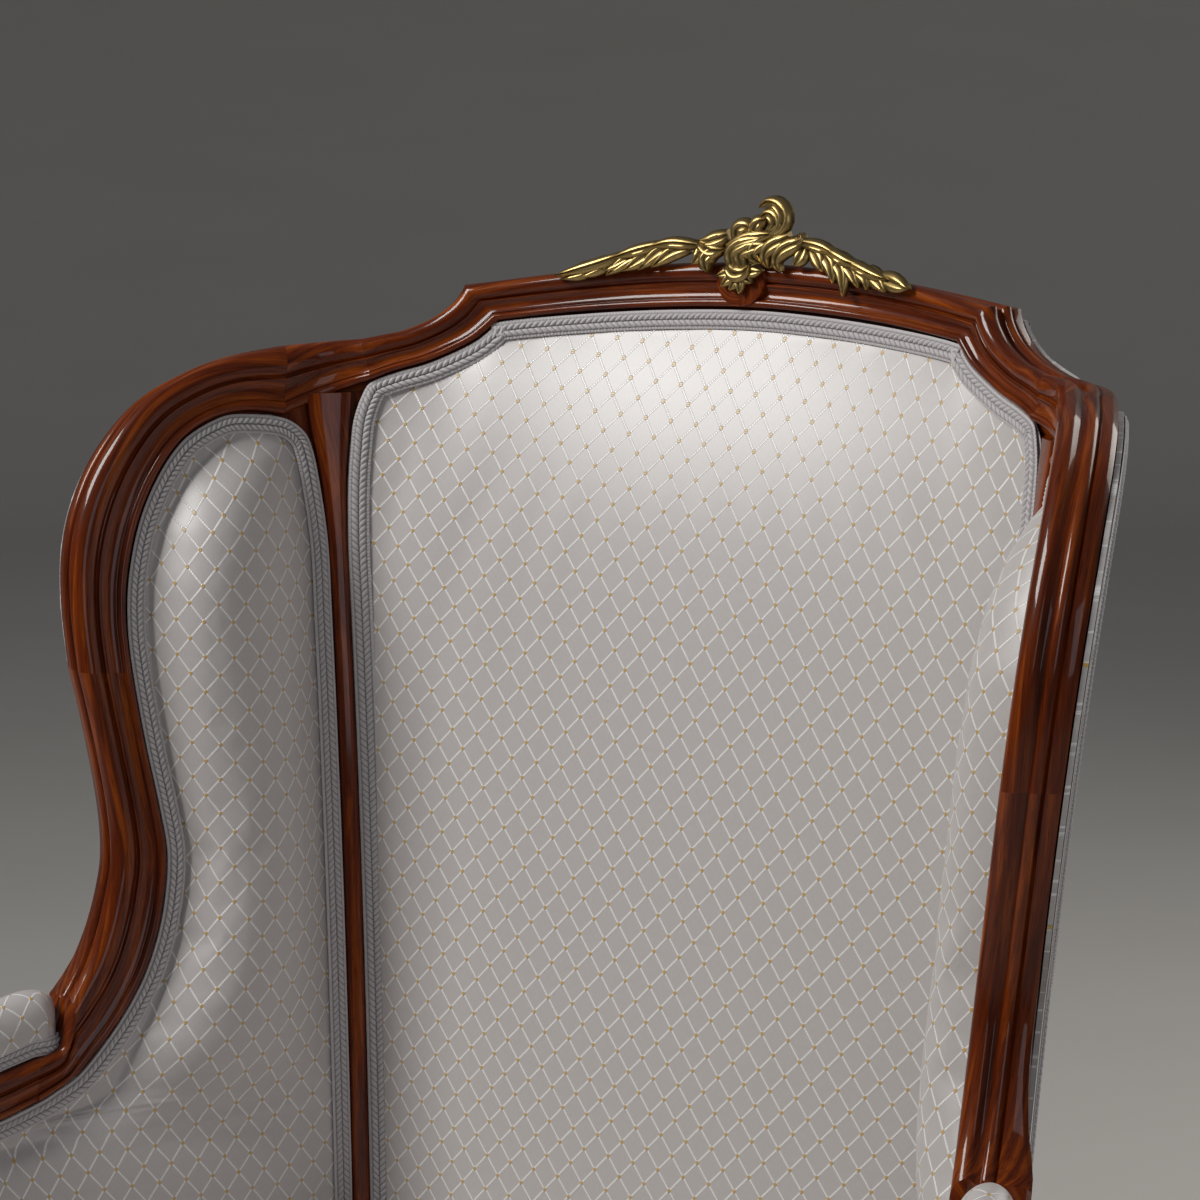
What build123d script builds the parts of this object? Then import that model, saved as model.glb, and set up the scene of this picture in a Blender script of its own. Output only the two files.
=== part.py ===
# Wing bergere armchair in the French rococo manner: a moulded mahogany show frame,
# lattice satin upholstery edged with braid, a loose seat cushion and a gilt crest mount.
# Millimetres, +Z up, the chair faces -Y, the origin is on the floor under the middle.
import os
from math import cos, degrees, hypot, pi, radians, sin
from build123d import *

# Overall heights
seat_top = 330.0
crest_z = 1093.0
head_z = 1036.0

# Back of the frame: its middle line leans back, its plan bows forward towards the posts
back_y = 217.57
back_lean = 0.03
back_sweep = 9.5e-5
bow_depth = 73.0
bow_width = 271.0
bow_power = 2.5
post_half = 230.0
post_flare = 0.02
post_sweep = 7.9e-5

# Sides: plan headings from straight forward, in degrees, by distance from the post
side_turns = [(0.0, 31.0), (200.0, 24.0), (320.0, 0.0), (520.0, -4.0)]

# Show wood
frame_depth = 24.0
arm_depth = 34.0
post_deep = 28.0
lip = 10.0
face_rise = 8.0
post_face = 7.5
post_body = 20.0
rail_high = 68.0
rail_thick = 30.0
leg_s = 478.0

# Upholstery
clear = 0.3
pad_back = 2.6
pad_edge = 4.0
gimp_wide = 12.5
gimp_thick = 2.4
cover_thick = 3.0
seat_deck = 346.0
cushion_low = 346.6
cushion_high = 458.0
strap_wide = 50.0
strap_thick = 1.2


def back_line(z):
    d = z - seat_top
    return back_y + back_lean * d + back_sweep * d * d


def post_x(z):
    d = z - seat_top
    return post_half + post_flare * d + post_sweep * d * d


def bow(u):
    return bow_depth * (abs(u) / bow_width) ** bow_power


def bow_slope(u):
    slope = bow_depth * bow_power / bow_width * (abs(u) / bow_width) ** (bow_power - 1)
    return slope if u >= 0 else -slope


def back_normal(u):
    m = hypot(bow_slope(u), 1.0)
    return Vector(-bow_slope(u) / m, -1.0 / m, 0)


def back_point(u, z, n=0.0):
    return Vector(u, back_line(z) - bow(u), z) + back_normal(u) * n


def side_plan(s):
    # Walk the plan curve of the side, an arc at a time, to the distance s
    x, y, heading = 0.0, 0.0, side_turns[0][1]
    for (s0, h0), (s1, h1) in zip(side_turns, side_turns[1:]):
        turn = radians(h1 - h0) / (s1 - s0)
        b0 = radians(h0)
        b1 = b0 + turn * (min(s, s1) - s0)
        x += (cos(b0) - cos(b1)) / turn
        y -= (sin(b1) - sin(b0)) / turn
        heading = degrees(b1)
        if s <= s1:
            break
    return x, y, heading


def side_normal(s):
    b = radians(side_plan(s)[2])
    return Vector(-cos(b), -sin(b), 0)


def side_point(s, z, n=0.0):
    x, y, heading = side_plan(s)
    u = post_x(z)
    return Vector(u + x, back_line(z) - bow(u) + y, z) + side_normal(s) * n


def between(pairs, value):
    # Straight interpolation in a rising list of (value, result) pairs
    for (a, fa), (b, fb) in zip(pairs, pairs[1:]):
        if value <= b:
            return fa + (fb - fa) * (max(value, a) - a) / (b - a)
    return pairs[-1][1]


def even(rows, count):
    # A smooth walk through rows of numbers, taken again at evenly spaced places
    dense = []
    for i in range(len(rows) - 1):
        a, b = rows[max(i - 1, 0)], rows[i]
        c, d = rows[i + 1], rows[min(i + 2, len(rows) - 1)]
        for k in range(16):
            t = k / 16
            w = (t * (t * (2 - t) - 1) / 2, 1 + t * t * (3 * t - 5) / 2)
            w += (t * (1 + t * (4 - 3 * t)) / 2, t * t * (t - 1) / 2)
            dense.append([sum(q) for q in zip(*[[f * v for v in r] for f, r in zip(w, (a, b, c, d))])])
    dense.append(list(rows[-1]))
    reach = [0.0]
    for p, q in zip(dense, dense[1:]):
        reach.append(reach[-1] + sum((x - y) ** 2 for x, y in zip(p, q)) ** 0.5)
    picked = []
    for k in range(count):
        goal = reach[-1] * k / (count - 1)
        i = max(j for j in range(len(reach) - 1) if reach[j] <= goal)
        f = (goal - reach[i]) / (reach[i + 1] - reach[i])
        picked.append([p + (q - p) * f for p, q in zip(dense[i], dense[i + 1])])
    return picked


def even_pairs(pairs, count):
    return [((a, b), (c, d)) for a, b, c, d in even([p + q for p, q in pairs], count)]


def moulded(inner, outer, face, bead=1.0, deep=frame_depth):
    # Section of the show frame: rebate lip, inner bead, hollow, quirk and outer roll, then
    # a fine bead along the outer edge and a plain back arris
    across = outer - inner
    w = across.length
    with BuildSketch(Plane(inner, x_dir=across, z_dir=across.cross(face))) as section:
        with BuildLine():
            Polyline((-lip, -deep), (-lip, 0), (0, 0), (0, 6.5))
            ThreePointArc((0, 6.5), (0.085 * w, 7 + 2.2 * bead), (0.17 * w, 7))
            ThreePointArc((0.17 * w, 7), (0.34 * w, 7 - 1.2 * bead), (0.5 * w, 8.4))
            Line((0.5 * w, 8.4), (0.54 * w, 6.2))
            ThreePointArc((0.54 * w, 6.2), (0.78 * w, 10.2), (w - 0.6, 1.5))
            Polyline((w - 0.6, 1.5), (w - 3.5, -2.5), (w - 3.5, -5.5))
            ThreePointArc((w - 3.5, -5.5), (w, -9.5), (w - 3.5, -13.5))
            Polyline((w - 3.5, -13.5), (w - 2, -15), (w - 2, 3 - deep), (w - 5, -deep), (-lip, -deep))
        make_face()
    return section.sketch


def on_back(pair, bead=1.0):
    (ui, zi), (uo, zo) = pair
    return moulded(back_point(ui, zi), back_point(uo, zo), back_normal((ui + uo) / 2), bead)


def on_side(pair, bead=1.0, deep=frame_depth):
    (si, zi), (so, zo) = pair
    return moulded(side_point(si, zi), side_point(so, zo), side_normal((si + so) / 2), bead, deep)


def flip(pairs):
    return [((-ui, zi), (-uo, zo)) for (ui, zi), (uo, zo) in reversed(pairs)]


# Crest rail stations, (inner edge, outer edge), as distance from the centre and height. Those of the
# corner and the step down go with the posts.
crest_corner = ((post_half - 52.5, 1051.0), (post_half - 27.0, 1074.5))
crest_joint = ((post_half + 24.5, 1010.0), (post_half + 32.0, 1037.5))
crest_end = ((post_half + 24.4, 1010.04), (post_half + 31.9, 1037.52))
crest_half = [((60.0, 1062.0), (62.0, 1090.5)), ((120.0, 1057.5), (127.0, 1084.0)), crest_corner]
crest_middle = flip(crest_half) + [((0.0, 1064.0), (0.0, crest_z))] + crest_half
crest_step = [
    crest_corner,
    ((post_half - 46.0, 1045.0), (post_half - 24.5, 1067.5)),
    ((post_half - 38.0, 1038.0), (post_half - 19.0, 1060.0)),
    ((post_half - 26.0, 1031.0), (post_half - 9.0, 1051.5)),
    ((post_half - 8.0, 1022.5), (post_half + 7.0, 1043.5)),
    ((post_half + 10.0, 1016.5), (post_half + 20.0, 1040.0)),
    crest_end,
]

# Wing stations, as distance forward from the post corner and height
wing_head = ((34.0, 988.0), (30.0, 1034.0))
wing_start = ((34.15, 988.02), (30.15, 1034.0))
wing_joint = ((152.5, 825.0), (188.5, 828.0))
arm_joint = ((200.0, 568.0), (204.5, 617.5))
wing_upper = [
    wing_start,
    ((60.0, 991.5), (66.0, 1028.5)),
    ((84.0, 988.0), (98.0, 1018.5)),
    ((108.0, 975.0), (133.0, 1000.5)),
    ((128.0, 951.0), (162.0, 970.0)),
    ((143.0, 921.0), (180.0, 938.0)),
    ((152.0, 887.0), (189.5, 905.0)),
    ((154.5, 856.0), (191.5, 868.0)),
    wing_joint,
]
wing_lower = [
    wing_joint,
    ((146.0, 779.0), (179.5, 781.0)),
    ((138.0, 735.0), (173.0, 736.0)),
    ((134.0, 705.0), (172.0, 705.0)),
    ((137.0, 675.0), (176.0, 684.0)),
    ((144.0, 648.0), (183.0, 660.0)),
    ((156.0, 621.0), (191.0, 640.0)),
    ((175.0, 594.0), (198.5, 627.0)),
    arm_joint,
]

# Arm stations: rear block, low seat of the arm pad, front hand
arm_rear = [arm_joint, ((218.0, 558.5), (219.0, 611.0)), ((232.0, 553.0), (231.0, 607.0))]
arm_seat = [
    ((231.0, 553.3), (231.0, 581.0)),
    ((262.0, 546.0), (262.0, 575.0)),
    ((310.0, 541.0), (310.0, 570.0)),
    ((365.0, 540.0), (365.0, 569.0)),
    ((420.0, 543.0), (420.0, 572.0)),
]
arm_hand = [
    ((419.0, 543.0), (419.0, 592.0)),
    ((440.0, 546.0), (440.0, 596.0)),
    ((462.0, 547.0), (465.0, 592.0)),
    ((478.0, 545.0), (488.0, 578.0)),
    ((484.0, 540.0), (500.0, 556.0)),
]

with BuildPart() as crest_rail:
    loft([on_back(p) for p in even_pairs(crest_middle, 11)])
    loft([on_back(p) for p in even_pairs(crest_step, 9)])
    loft([on_back(p) for p in flip(even_pairs(crest_step, 9))])
    with BuildSketch(Plane(back_point(0, 1084.0, 3.0), x_dir=(1, 0, 0), z_dir=(0, -1, 0))):
        Circle(19)
        with Locations((0, 19)):
            Rectangle(40, 24, mode=Mode.SUBTRACT)
    extrude(amount=8.0)

with BuildPart() as wing_rail_upper_right:
    loft([on_side(p) for p in even_pairs(wing_upper, 15)])

with BuildPart() as wing_rail_lower_right:
    # The rail thickens towards the arm that it runs into
    extra = [0.0] * 9 + [0.5, 2.0, 4.5, 7.5, 9.5, 10.0]
    rows = zip(even_pairs(wing_lower, 15), extra)
    loft([on_side(p, deep=frame_depth + more) for p, more in rows])

with BuildPart() as arm_right:
    loft([on_side(p, deep=arm_depth) for p in arm_rear])
    loft([on_side(p, 0.6, arm_depth) for p in even_pairs(arm_seat, 7)])
    loft([on_side(p, 0.6, arm_depth) for p in even_pairs(arm_hand, 7)])


def post_section(z, back_face, side_face, body=post_body):
    # Plan section of a back post: a narrow face with a rebate each side and a stout body
    u = post_x(z)
    corner = Vector(u, back_line(z) - bow(u), z)
    nb = back_normal(u)
    ns = side_normal(0)
    tb = Vector(nb.Y, -nb.X, 0)
    ts = Vector(-ns.Y, ns.X, 0)
    heel = (nb + ns).normalized() * (-post_deep * 1.08)
    points = [
        corner + heel,
        corner + ts * body - ns * post_deep,
        corner + ts * (side_face + body - post_face),
        corner + ts * side_face,
        corner + ts * side_face + ns * face_rise,
        corner + tb * back_face + nb * face_rise,
        corner + tb * back_face,
        corner + tb * (back_face + body - post_face),
        corner + tb * body - nb * post_deep,
    ]
    with BuildSketch(Plane.XY.offset(z)) as section:
        with BuildLine():
            Polyline(*[(p.X, p.Y) for p in points], close=True)
        make_face()
    return section.sketch


def leg_section(z, x, y, size, turn=0.0):
    with BuildSketch(Plane((x, y, z), x_dir=(cos(turn), sin(turn), 0))) as section:
        RectangleRounded(size, size, size * 0.28)
    return section.sketch


# Back posts run in one piece from the foot to the head between the crest and the wing
post_flares = [(900.0, post_face, post_face), (940.0, 9.0, 10.0), (965.0, 11.5, 13.0)]
post_flares += [(985.0, 14.0, 16.0), (1002.0, 16.0, 16.5)]
post_foot = side_point(0, seat_top) - (back_normal(post_half) + side_normal(0)).normalized() * 16
rear_leg = [(300.0, 0.0, 38.0), (250.0, 1.0, 40.0), (200.0, 4.0, 39.0), (150.0, 11.0, 36.0)]
rear_leg += [(100.0, 22.0, 33.0), (50.0, 36.0, 30.0), (0.0, 50.0, 29.0)]

with BuildPart() as post_right:
    loft([post_section(250.0 + 130.0 * k, post_face, post_face) for k in range(6)])
    loft([post_section(*row) for row in even(post_flares, 7)])
    head_face = (back_normal(post_x(head_z)) + side_normal(0)).normalized()
    loft([
        on_back(crest_joint),
        moulded(side_point(0, 1000.0), side_point(0, head_z), head_face, 0.2),
        on_side(wing_head),
    ])
    loft([leg_section(z, post_foot.X, post_foot.Y + dy, size, radians(45)) for z, dy, size in rear_leg])


def rail_section(at, out, low, high=seat_top, inside=6.0, thick=rail_thick):
    # Seat rail section: a gently rounded outer face above a bead along the lower edge
    a = inside
    b = inside + thick
    with BuildSketch(Plane((at.X, at.Y, 0), x_dir=out, z_dir=out.cross(Vector(0, 0, 1)))) as section:
        with BuildLine():
            Polyline((a, low), (a, high), (b - 3, high))
            ThreePointArc((b - 3, high), (b + 0.5, (low + high) / 2 + 5), (b - 2, low + 13))
            Line((b - 2, low + 13), (b - 4, low + 11))
            ThreePointArc((b - 4, low + 11), (b + 1, low + 5.5), (b - 3, low))
            Line((b - 3, low), (a, low))
        make_face()
    return section.sketch


def batten_section(at, out, low, high, inside=2.0, thick=20.0):
    with BuildSketch(Plane((at.X, at.Y, 0), x_dir=out, z_dir=out.cross(Vector(0, 0, 1)))) as section:
        with Locations((inside + thick / 2, (low + high) / 2)):
            Rectangle(thick, high - low)
    return section.sketch


def along_side(first, last, count):
    return [first + (last - first) * k / (count - 1) for k in range(count)]


rail_low = seat_top - rail_high
leg_mid = side_point(leg_s, seat_top, -rail_thick / 2 - 6)
leg_size = 54.0
front_x = leg_mid.X - leg_size / 2 - clear
post_edge = post_half - post_body * 0.83 - 2.0

with BuildPart() as side_seat_rail_right:
    stations = along_side(post_body + 0.8, leg_s - leg_size / 2 - 0.5, 7)
    loft([rail_section(side_point(s, seat_top), -side_normal(s), rail_low) for s in stations])

with BuildPart() as back_seat_rail:
    stations = along_side(-post_edge, post_edge, 7)
    loft([rail_section(back_point(u, seat_top), -back_normal(u), rail_low) for u in stations])

with BuildPart() as back_lower_rail:
    stations = along_side(-post_edge, post_edge, 7)
    loft([batten_section(back_point(u, 390.0), -back_normal(u), 372.0, 408.0) for u in stations])

with BuildPart() as side_lower_rail_right:
    stations = along_side(post_body + 0.8, 405.0, 6)
    loft([batten_section(side_point(s, 380.0), -side_normal(s), 366.0, 394.0) for s in stations])


def front_line(x):
    return leg_mid.Y + 6 - 30 * cos(pi * x / 2 / (front_x + 60))


def apron_low(x):
    return rail_low + 1 - 11 * cos(2 * pi * x / front_x) + 8 * (1 - (x / front_x) ** 2)


with BuildPart() as front_seat_rail:
    stations = along_side(-front_x, front_x, 13)
    loft([
        rail_section(Vector(x, front_line(x), 0), Vector(0, -1, 0), apron_low(x), inside=-15.0)
        for x in stations
    ])

# Front legs: a square block at the rail, then a cabriole curve to a scrolled toe
front_leg = [(4.0, 52.0), (11.0, 51.0), (8.0, 45.0), (-2.0, 38.0), (-11.0, 32.0), (-15.0, 28.5)]
front_leg += [(-9.0, 31.0), (4.0, 40.0)]
knee_out = Vector(0.64, -0.77, 0)
block_low = 250.0

with BuildPart() as front_leg_right:
    loft([leg_section(z, leg_mid.X, leg_mid.Y, leg_size) for z in (seat_top, block_low - 8)])
    rows = [(block_low * (1 - k / 7), *row) for k, row in enumerate(front_leg)]
    loft([
        leg_section(z, leg_mid.X + knee_out.X * off, leg_mid.Y + knee_out.Y * off, size)
        for z, off, size in rows
    ])

# Arm supports rise from the side rail behind the leg and lean forward under the hand
support_line = [(330.0, 430.0), (380.0, 424.0), (430.0, 427.0), (480.0, 441.0), (533.5, 459.0)]
support_deep = 34.0
support_thick = 36.0


def support_section(z, s):
    at = side_point(s, z, -12.0)
    with BuildSketch(Plane(at, x_dir=side_normal(s), z_dir=(0, 0, 1))) as section:
        RectangleRounded(support_thick, support_deep, 7)
    return section.sketch


with BuildPart() as arm_support_right:
    loft([support_section(z, s) for z, s in even(support_line, 6)])

with BuildPart() as corner_block_right:
    inner = Vector(leg_mid.X - leg_size / 2, leg_mid.Y + leg_size / 2)
    with BuildSketch(Plane.XY.offset(276.0)):
        with BuildLine():
            Polyline(
                (inner.X - 0.4, inner.Y + 0.4),
                (inner.X - 62, inner.Y - 19.5),
                (inner.X + 14, inner.Y + 62),
                close=True,
            )
        make_face()
    extrude(amount=40)


def seat_half(y, n=0.0):
    # Half width of the seat at a depth y, on the side surface moved inwards by n
    low, high = 0.0, 520.0
    for k in range(40):
        s = (low + high) / 2
        low, high = (s, high) if side_point(s, seat_top, n).Y > y else (low, s)
    return side_point(low, seat_top, n).X


# Seat: webbing on the rails, canvas, a thin stuffed deck and a dust cover below
with BuildPart() as seat_webbing:
    for x in (-130.0, -65.0, 0.0, 65.0, 130.0):
        rear = back_point(x, seat_top, -26).Y
        near = front_line(x) - 6
        with BuildSketch(Plane.XY.offset(seat_top)):
            with Locations((x, (rear + near) / 2)):
                Rectangle(strap_wide, rear - near)
        extrude(amount=strap_thick)
    for y in (-190.0, -100.0, -10.0, 75.0):
        with BuildSketch(Plane.XY.offset(seat_top + strap_thick)):
            with Locations((0, y)):
                far_edge = y - strap_wide / 2 if y < 0 else y + strap_wide / 2
                Rectangle(2 * seat_half(far_edge, -24), strap_wide)
        extrude(amount=strap_thick)


def seat_outline(n, front, z, first=46.0, last=396.0):
    # Closed plan of the seat: along the sides, across the bowed front and the bowed back
    sides = [side_point(s, seat_top, n) for s in along_side(first, last, 7)]
    rear = [back_point(u, seat_top, n) for u in (0.0, 70.0, 140.0, 186.0)]
    inset = side_point(0, seat_top) + (back_normal(post_half) + side_normal(0)).normalized() * 17
    half = [(p.X, p.Y) for p in rear + [inset] + sides]
    nose = [(x, front_line(x) + front) for x in (front_x - 40, front_x * 0.6, front_x * 0.3)]
    right = half + nose
    left = [(-x, y) for x, y in reversed(right[1:])]
    with BuildSketch(Plane.XY.offset(z)) as section:
        with BuildLine():
            Polyline(*right, (0, front_line(0) + front), *left, close=True)
        make_face()
    return section.sketch


with BuildPart() as seat_canvas:
    add(seat_outline(-14.0, 4.0, seat_top + 2 * strap_thick + 0.1, last=386.0))
    extrude(amount=0.8)

deck_low = seat_top + 2 * strap_thick + 1.0
with BuildPart() as seat_deck_pad:
    loft(
        [
            seat_outline(-5.0, 6.0, deck_low),
            seat_outline(-4.0, 5.0, seat_deck - 5),
            seat_outline(4.0, 14.0, seat_deck - 1.5),
            seat_outline(40.0, 60.0, seat_deck),
        ],
        ruled=True,
    )

with BuildPart() as dust_cover:
    add(seat_outline(-9.0, 20.0, rail_low - 0.7, last=436.0))
    extrude(amount=0.6)

# Inner edge of the back frame: half width by height
inner_edge = [(350.0 + 50 * k, post_x(350.0 + 50 * k) - post_face * 0.83) for k in range(12)]
inner_edge += [(940.0, post_x(940.0) - 8.0), (965.0, post_x(965.0) - 10.5), (985.0, post_x(985.0) - 13.5)]
inner_edge += [(1002.0, post_half + 29.5), (1010.0, post_half + 24.5), (1016.5, post_half + 10.0)]
inner_edge += [(1022.5, post_half - 8.0), (1031.0, post_half - 26.0), (1038.0, post_half - 38.0)]
inner_edge += [(1045.0, post_half - 46.0), (1051.0, post_half - 52.5), (1057.5, 120.0), (1062.0, 60.0)]
inner_edge += [(1064.0, 4.0)]

# Back pad sections: height, flat margin under the braid, crown in the middle
back_rows = [
    (358.0, 14.0, 12.0), (372.0, 14.0, 34.0), (420.0, 14.0, 50.0), (500.0, 14.0, 54.0),
    (600.0, 14.0, 52.0), (700.0, 14.0, 47.0), (800.0, 14.0, 42.0), (880.0, 14.0, 38.0),
    (940.0, 14.0, 33.0), (975.0, 16.0, 27.0), (1002.0, 24.0, 19.0), (1016.0, 34.0, 12.0),
    (1030.0, 34.0, 5.5), (1040.0, 30.0, 4.2), (1049.0, 26.0, 4.1), (1057.5, 22.0, 4.05),
]


def back_section(z, margin, crown, front=pad_back, edge=pad_edge, inset=1.2):
    # Horizontal section of a back pad: follows the frame behind, crowned in front
    h = between(inner_edge, z + 1.5) - inset
    with BuildSketch(Plane.XY.offset(z)) as section:
        rear = [back_point(h * f, z, front) for f in (-1, -0.88, -0.72, -0.5, 0, 0.5, 0.72, 0.88, 1)]
        low_l, low_r = back_point(-h, z, edge), back_point(h, z, edge)
        toe_l, toe_r = back_point(margin - h, z, edge), back_point(h - margin, z, edge)
        top = back_point(0, z, crown)
        with BuildLine():
            Polyline(*[(p.X, p.Y) for p in rear + [low_r, toe_r]])
            ThreePointArc((toe_r.X, toe_r.Y), (top.X, top.Y), (toe_l.X, toe_l.Y))
            Polyline(*[(p.X, p.Y) for p in [toe_l, low_l, rear[0]]])
        make_face()
    return section.sketch


with BuildPart() as back_pad:
    loft([back_section(*row) for row in back_rows], ruled=True)

# Inner edge of the side frame: distance from the post by height, at the rear and the front
side_rear = [(350.0, post_face), (900.0, post_face), (940.0, 11.0), (965.0, 15.0), (978.0, 21.0)]
side_rear += [(989.0, 40.0)]
side_front = [(350.0, 409.5), (380.0, 405.5), (430.0, 408.5), (480.0, 422.0), (520.0, 435.5), (536.5, 440.0)]
side_front += [(540.0, 365.0), (541.0, 310.0), (546.0, 262.0), (553.0, 232.0), (558.5, 218.0), (568.0, 200.0)]
side_front += [(594.0, 175.0), (621.0, 156.0), (648.0, 144.0), (675.0, 137.0), (705.0, 134.0), (735.0, 138.0)]
side_front += [(779.0, 146.0), (825.0, 152.5), (856.0, 154.5), (887.0, 152.0), (921.0, 143.0), (951.0, 128.0)]
side_front += [(975.0, 108.0), (988.0, 84.0), (991.0, 66.0)]

# Side pad sections: height, margins under the braid, crown, and where the fullest part lies
side_rows = [
    (354.0, 14.0, 14.0, 10.0, 0.5), (368.0, 14.0, 14.0, 24.0, 0.5), (420.0, 14.0, 14.0, 32.0, 0.5),
    (480.0, 14.0, 16.0, 30.0, 0.5), (505.0, 14.0, 22.0, 25.0, 0.5), (517.0, 14.0, 40.0, 20.0, 0.5),
    (526.0, 14.0, 200.0, 19.0, 0.5), (536.0, 14.0, 205.0, 19.0, 0.5), (541.0, 14.0, 80.0, 21.0, 0.48),
    (548.0, 14.0, 60.0, 25.0, 0.46), (558.0, 14.0, 40.0, 30.0, 0.43), (568.0, 14.0, 30.0, 34.0, 0.4),
    (580.0, 14.0, 24.0, 37.0, 0.38), (610.0, 14.0, 18.0, 40.0, 0.36), (650.0, 14.0, 15.0, 41.0, 0.36),
    (675.0, 14.0, 14.5, 41.0, 0.36), (705.0, 14.0, 14.0, 41.0, 0.36), (770.0, 14.0, 14.0, 41.0, 0.36),
    (830.0, 14.0, 14.0, 42.0, 0.36), (880.0, 14.0, 15.0, 41.0, 0.36), (915.0, 14.0, 17.0, 37.0, 0.38),
    (942.0, 15.0, 20.0, 29.0, 0.42), (960.0, 17.0, 22.0, 20.0, 0.45), (973.0, 20.0, 28.0, 7.2, 0.5),
    (983.0, 18.0, 22.0, 5.5, 0.5), (988.0, 12.0, 12.0, 4.5, 0.5),
]


def side_section(z, margin_rear, margin_front, crown, full, low=clear, edge=pad_edge, inset=2.0):
    # Horizontal section of a side pad: steep behind the front edge, then easing to the post
    a = between(side_rear, z) + inset
    b = between(side_front, z + 1.6) - inset
    first, last = b - margin_front, a + margin_rear
    reach = first - last
    with BuildSketch(Plane.XY.offset(z)) as section:
        rear = [side_point(a + (b - a) * k / 10, z, low) for k in range(11)]
        low_r, toe_r = side_point(a, z, edge), side_point(last, z, edge)
        rim = [side_point(b - margin_front * k / 7, z, edge) for k in range(8)]
        rise = crown - edge
        flank = side_point(first - 0.36 * full * reach, z, edge + 0.62 * rise)
        top = side_point(first - full * reach, z, crown)
        with BuildLine():
            Polyline(*[(p.X, p.Y) for p in rear + rim])
            front = ThreePointArc((rim[-1].X, rim[-1].Y), (flank.X, flank.Y), (top.X, top.Y))
            TangentArc((top.X, top.Y), (toe_r.X, toe_r.Y), tangent=front % 1)
            Polyline(*[(p.X, p.Y) for p in [toe_r, low_r, rear[0]]])
        make_face()
    return section.sketch


with BuildPart() as side_pad_right:
    loft([side_section(*row) for row in side_rows], ruled=True)

with BuildPart() as back_webbing:
    for u, top in ((-150.0, 1050.0), (-50.0, 1058.0), (50.0, 1058.0), (150.0, 1050.0)):
        heights = along_side(378.0, top, 5)
        sections = []
        for z in heights:
            low, high = back_point(u - 24, z, 0.25), back_point(u + 24, z, 0.25)
            with BuildSketch(Plane.XY.offset(z)) as section:
                with BuildLine():
                    Polyline(
                        (low.X, low.Y), (high.X, high.Y),
                        (high.X, high.Y - strap_thick), (low.X, low.Y - strap_thick), close=True,
                    )
                make_face()
            sections.append(section.sketch)
        loft(sections, ruled=True)

# Outside covers: cloth over a thin lining, drawn over the back of the frame to its outer edge
cover_in = frame_depth + 0.9
cover_out = cover_in + cover_thick


def cover_section(points_in, points_out, z):
    with BuildSketch(Plane.XY.offset(z)) as section:
        with BuildLine():
            Polyline(*[(p.X, p.Y) for p in points_in + points_out[::-1]], close=True)
        make_face()
    return section.sketch


# Half width of the outside back by height, a little inside the crest's outer edge at the top
back_cover_top = [(1000.0, post_half + 34.0), (1022.0, post_half + 28.0), (1030.0, post_half + 23.0)]
back_cover_top += [(1034.0, post_half + 15.0), (1037.0, post_half + 5.0), (1043.0, post_half - 11.0)]
back_cover_top += [(1051.0, post_half - 22.0), (1058.0, post_half - 28.5), (1065.0, post_half - 33.0)]
back_cover_top += [(1074.0, 126.0)]
back_cover_top += [(1080.0, 62.0), (1082.0, 8.0)]


def back_cover_half(z):
    return min(between(back_cover_top, z), post_x(z) - post_body * 0.83 - 1.0 - max(0, z - 930) / 17)


def back_cover_section(z, swell):
    h = back_cover_half(z)
    steps = [k / 12 for k in range(-12, 13)]
    rest = cover_in + min(max(0, z - 1000) / 40, 1.0) * 1.2
    near = [back_point(h * f, z, -rest) for f in steps]
    far = [back_point(h * f, z, -rest - cover_thick - swell * (1 - f * f)) for f in steps]
    return cover_section(near, far, z)


back_cover_rows = [(334.0, 1.0), (360.0, 4.0), (470.0, 6.0), (650.0, 6.0), (830.0, 6.0), (940.0, 5.0)]
back_cover_rows += [(1000.0, 3.0), (1022.0, 2.0), (1030.0, 1.5), (1034.0, 1.0), (1037.0, 1.0)]
back_cover_rows += [(z, 0.5) for z in (1043.0, 1051.0, 1058.0, 1065.0, 1074.0, 1080.0)]
with BuildPart() as back_cover:
    loft([back_cover_section(z, swell) for z, swell in back_cover_rows], ruled=True)

# Front edge of the outside wing: near the rail's outer edge, then in under the arm
wing_cover_edge = [(690.0, 121.0), (700.0, 127.0), (712.0, 140.0), (725.0, 155.0), (740.0, 166.0)]
wing_cover_edge += [(760.0, 171.0), (781.0, 174.5), (828.0, 183.5), (868.0, 186.5), (905.0, 184.0)]
wing_cover_edge += [(938.0, 174.0), (968.0, 156.0), (992.0, 131.0), (1008.0, 98.0), (1017.0, 66.0)]
wing_cover_edge += [(1021.0, 44.0)]


def side_cover_ends(z):
    rear = post_body + 0.6 + max(0, z - 930) * 0.24
    front = between(wing_cover_edge, z) if z >= 690 else between(side_front, z + lip + 4) - lip - 3.5
    return rear, front


def side_cover_section(z, swell):
    a, b = side_cover_ends(z)
    steps = [k / 12 for k in range(13)]
    near = [side_point(a + (b - a) * f, z, -cover_in) for f in steps]
    far = [side_point(a + (b - a) * f, z, -cover_out - swell * 4 * f * (1 - f)) for f in steps]
    return cover_section(near, far, z)


side_cover_heights = [334.0, 352.0, 400.0, 460.0, 505.0, 520.0, 525.5, 531.5, 538.0, 545.0, 555.0]
side_cover_heights += [580.0, 610.0, 650.0] + [z for z, s in wing_cover_edge]
with BuildPart() as side_cover_right:
    loft([side_cover_section(z, 0.8) for z in side_cover_heights], ruled=True)


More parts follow.
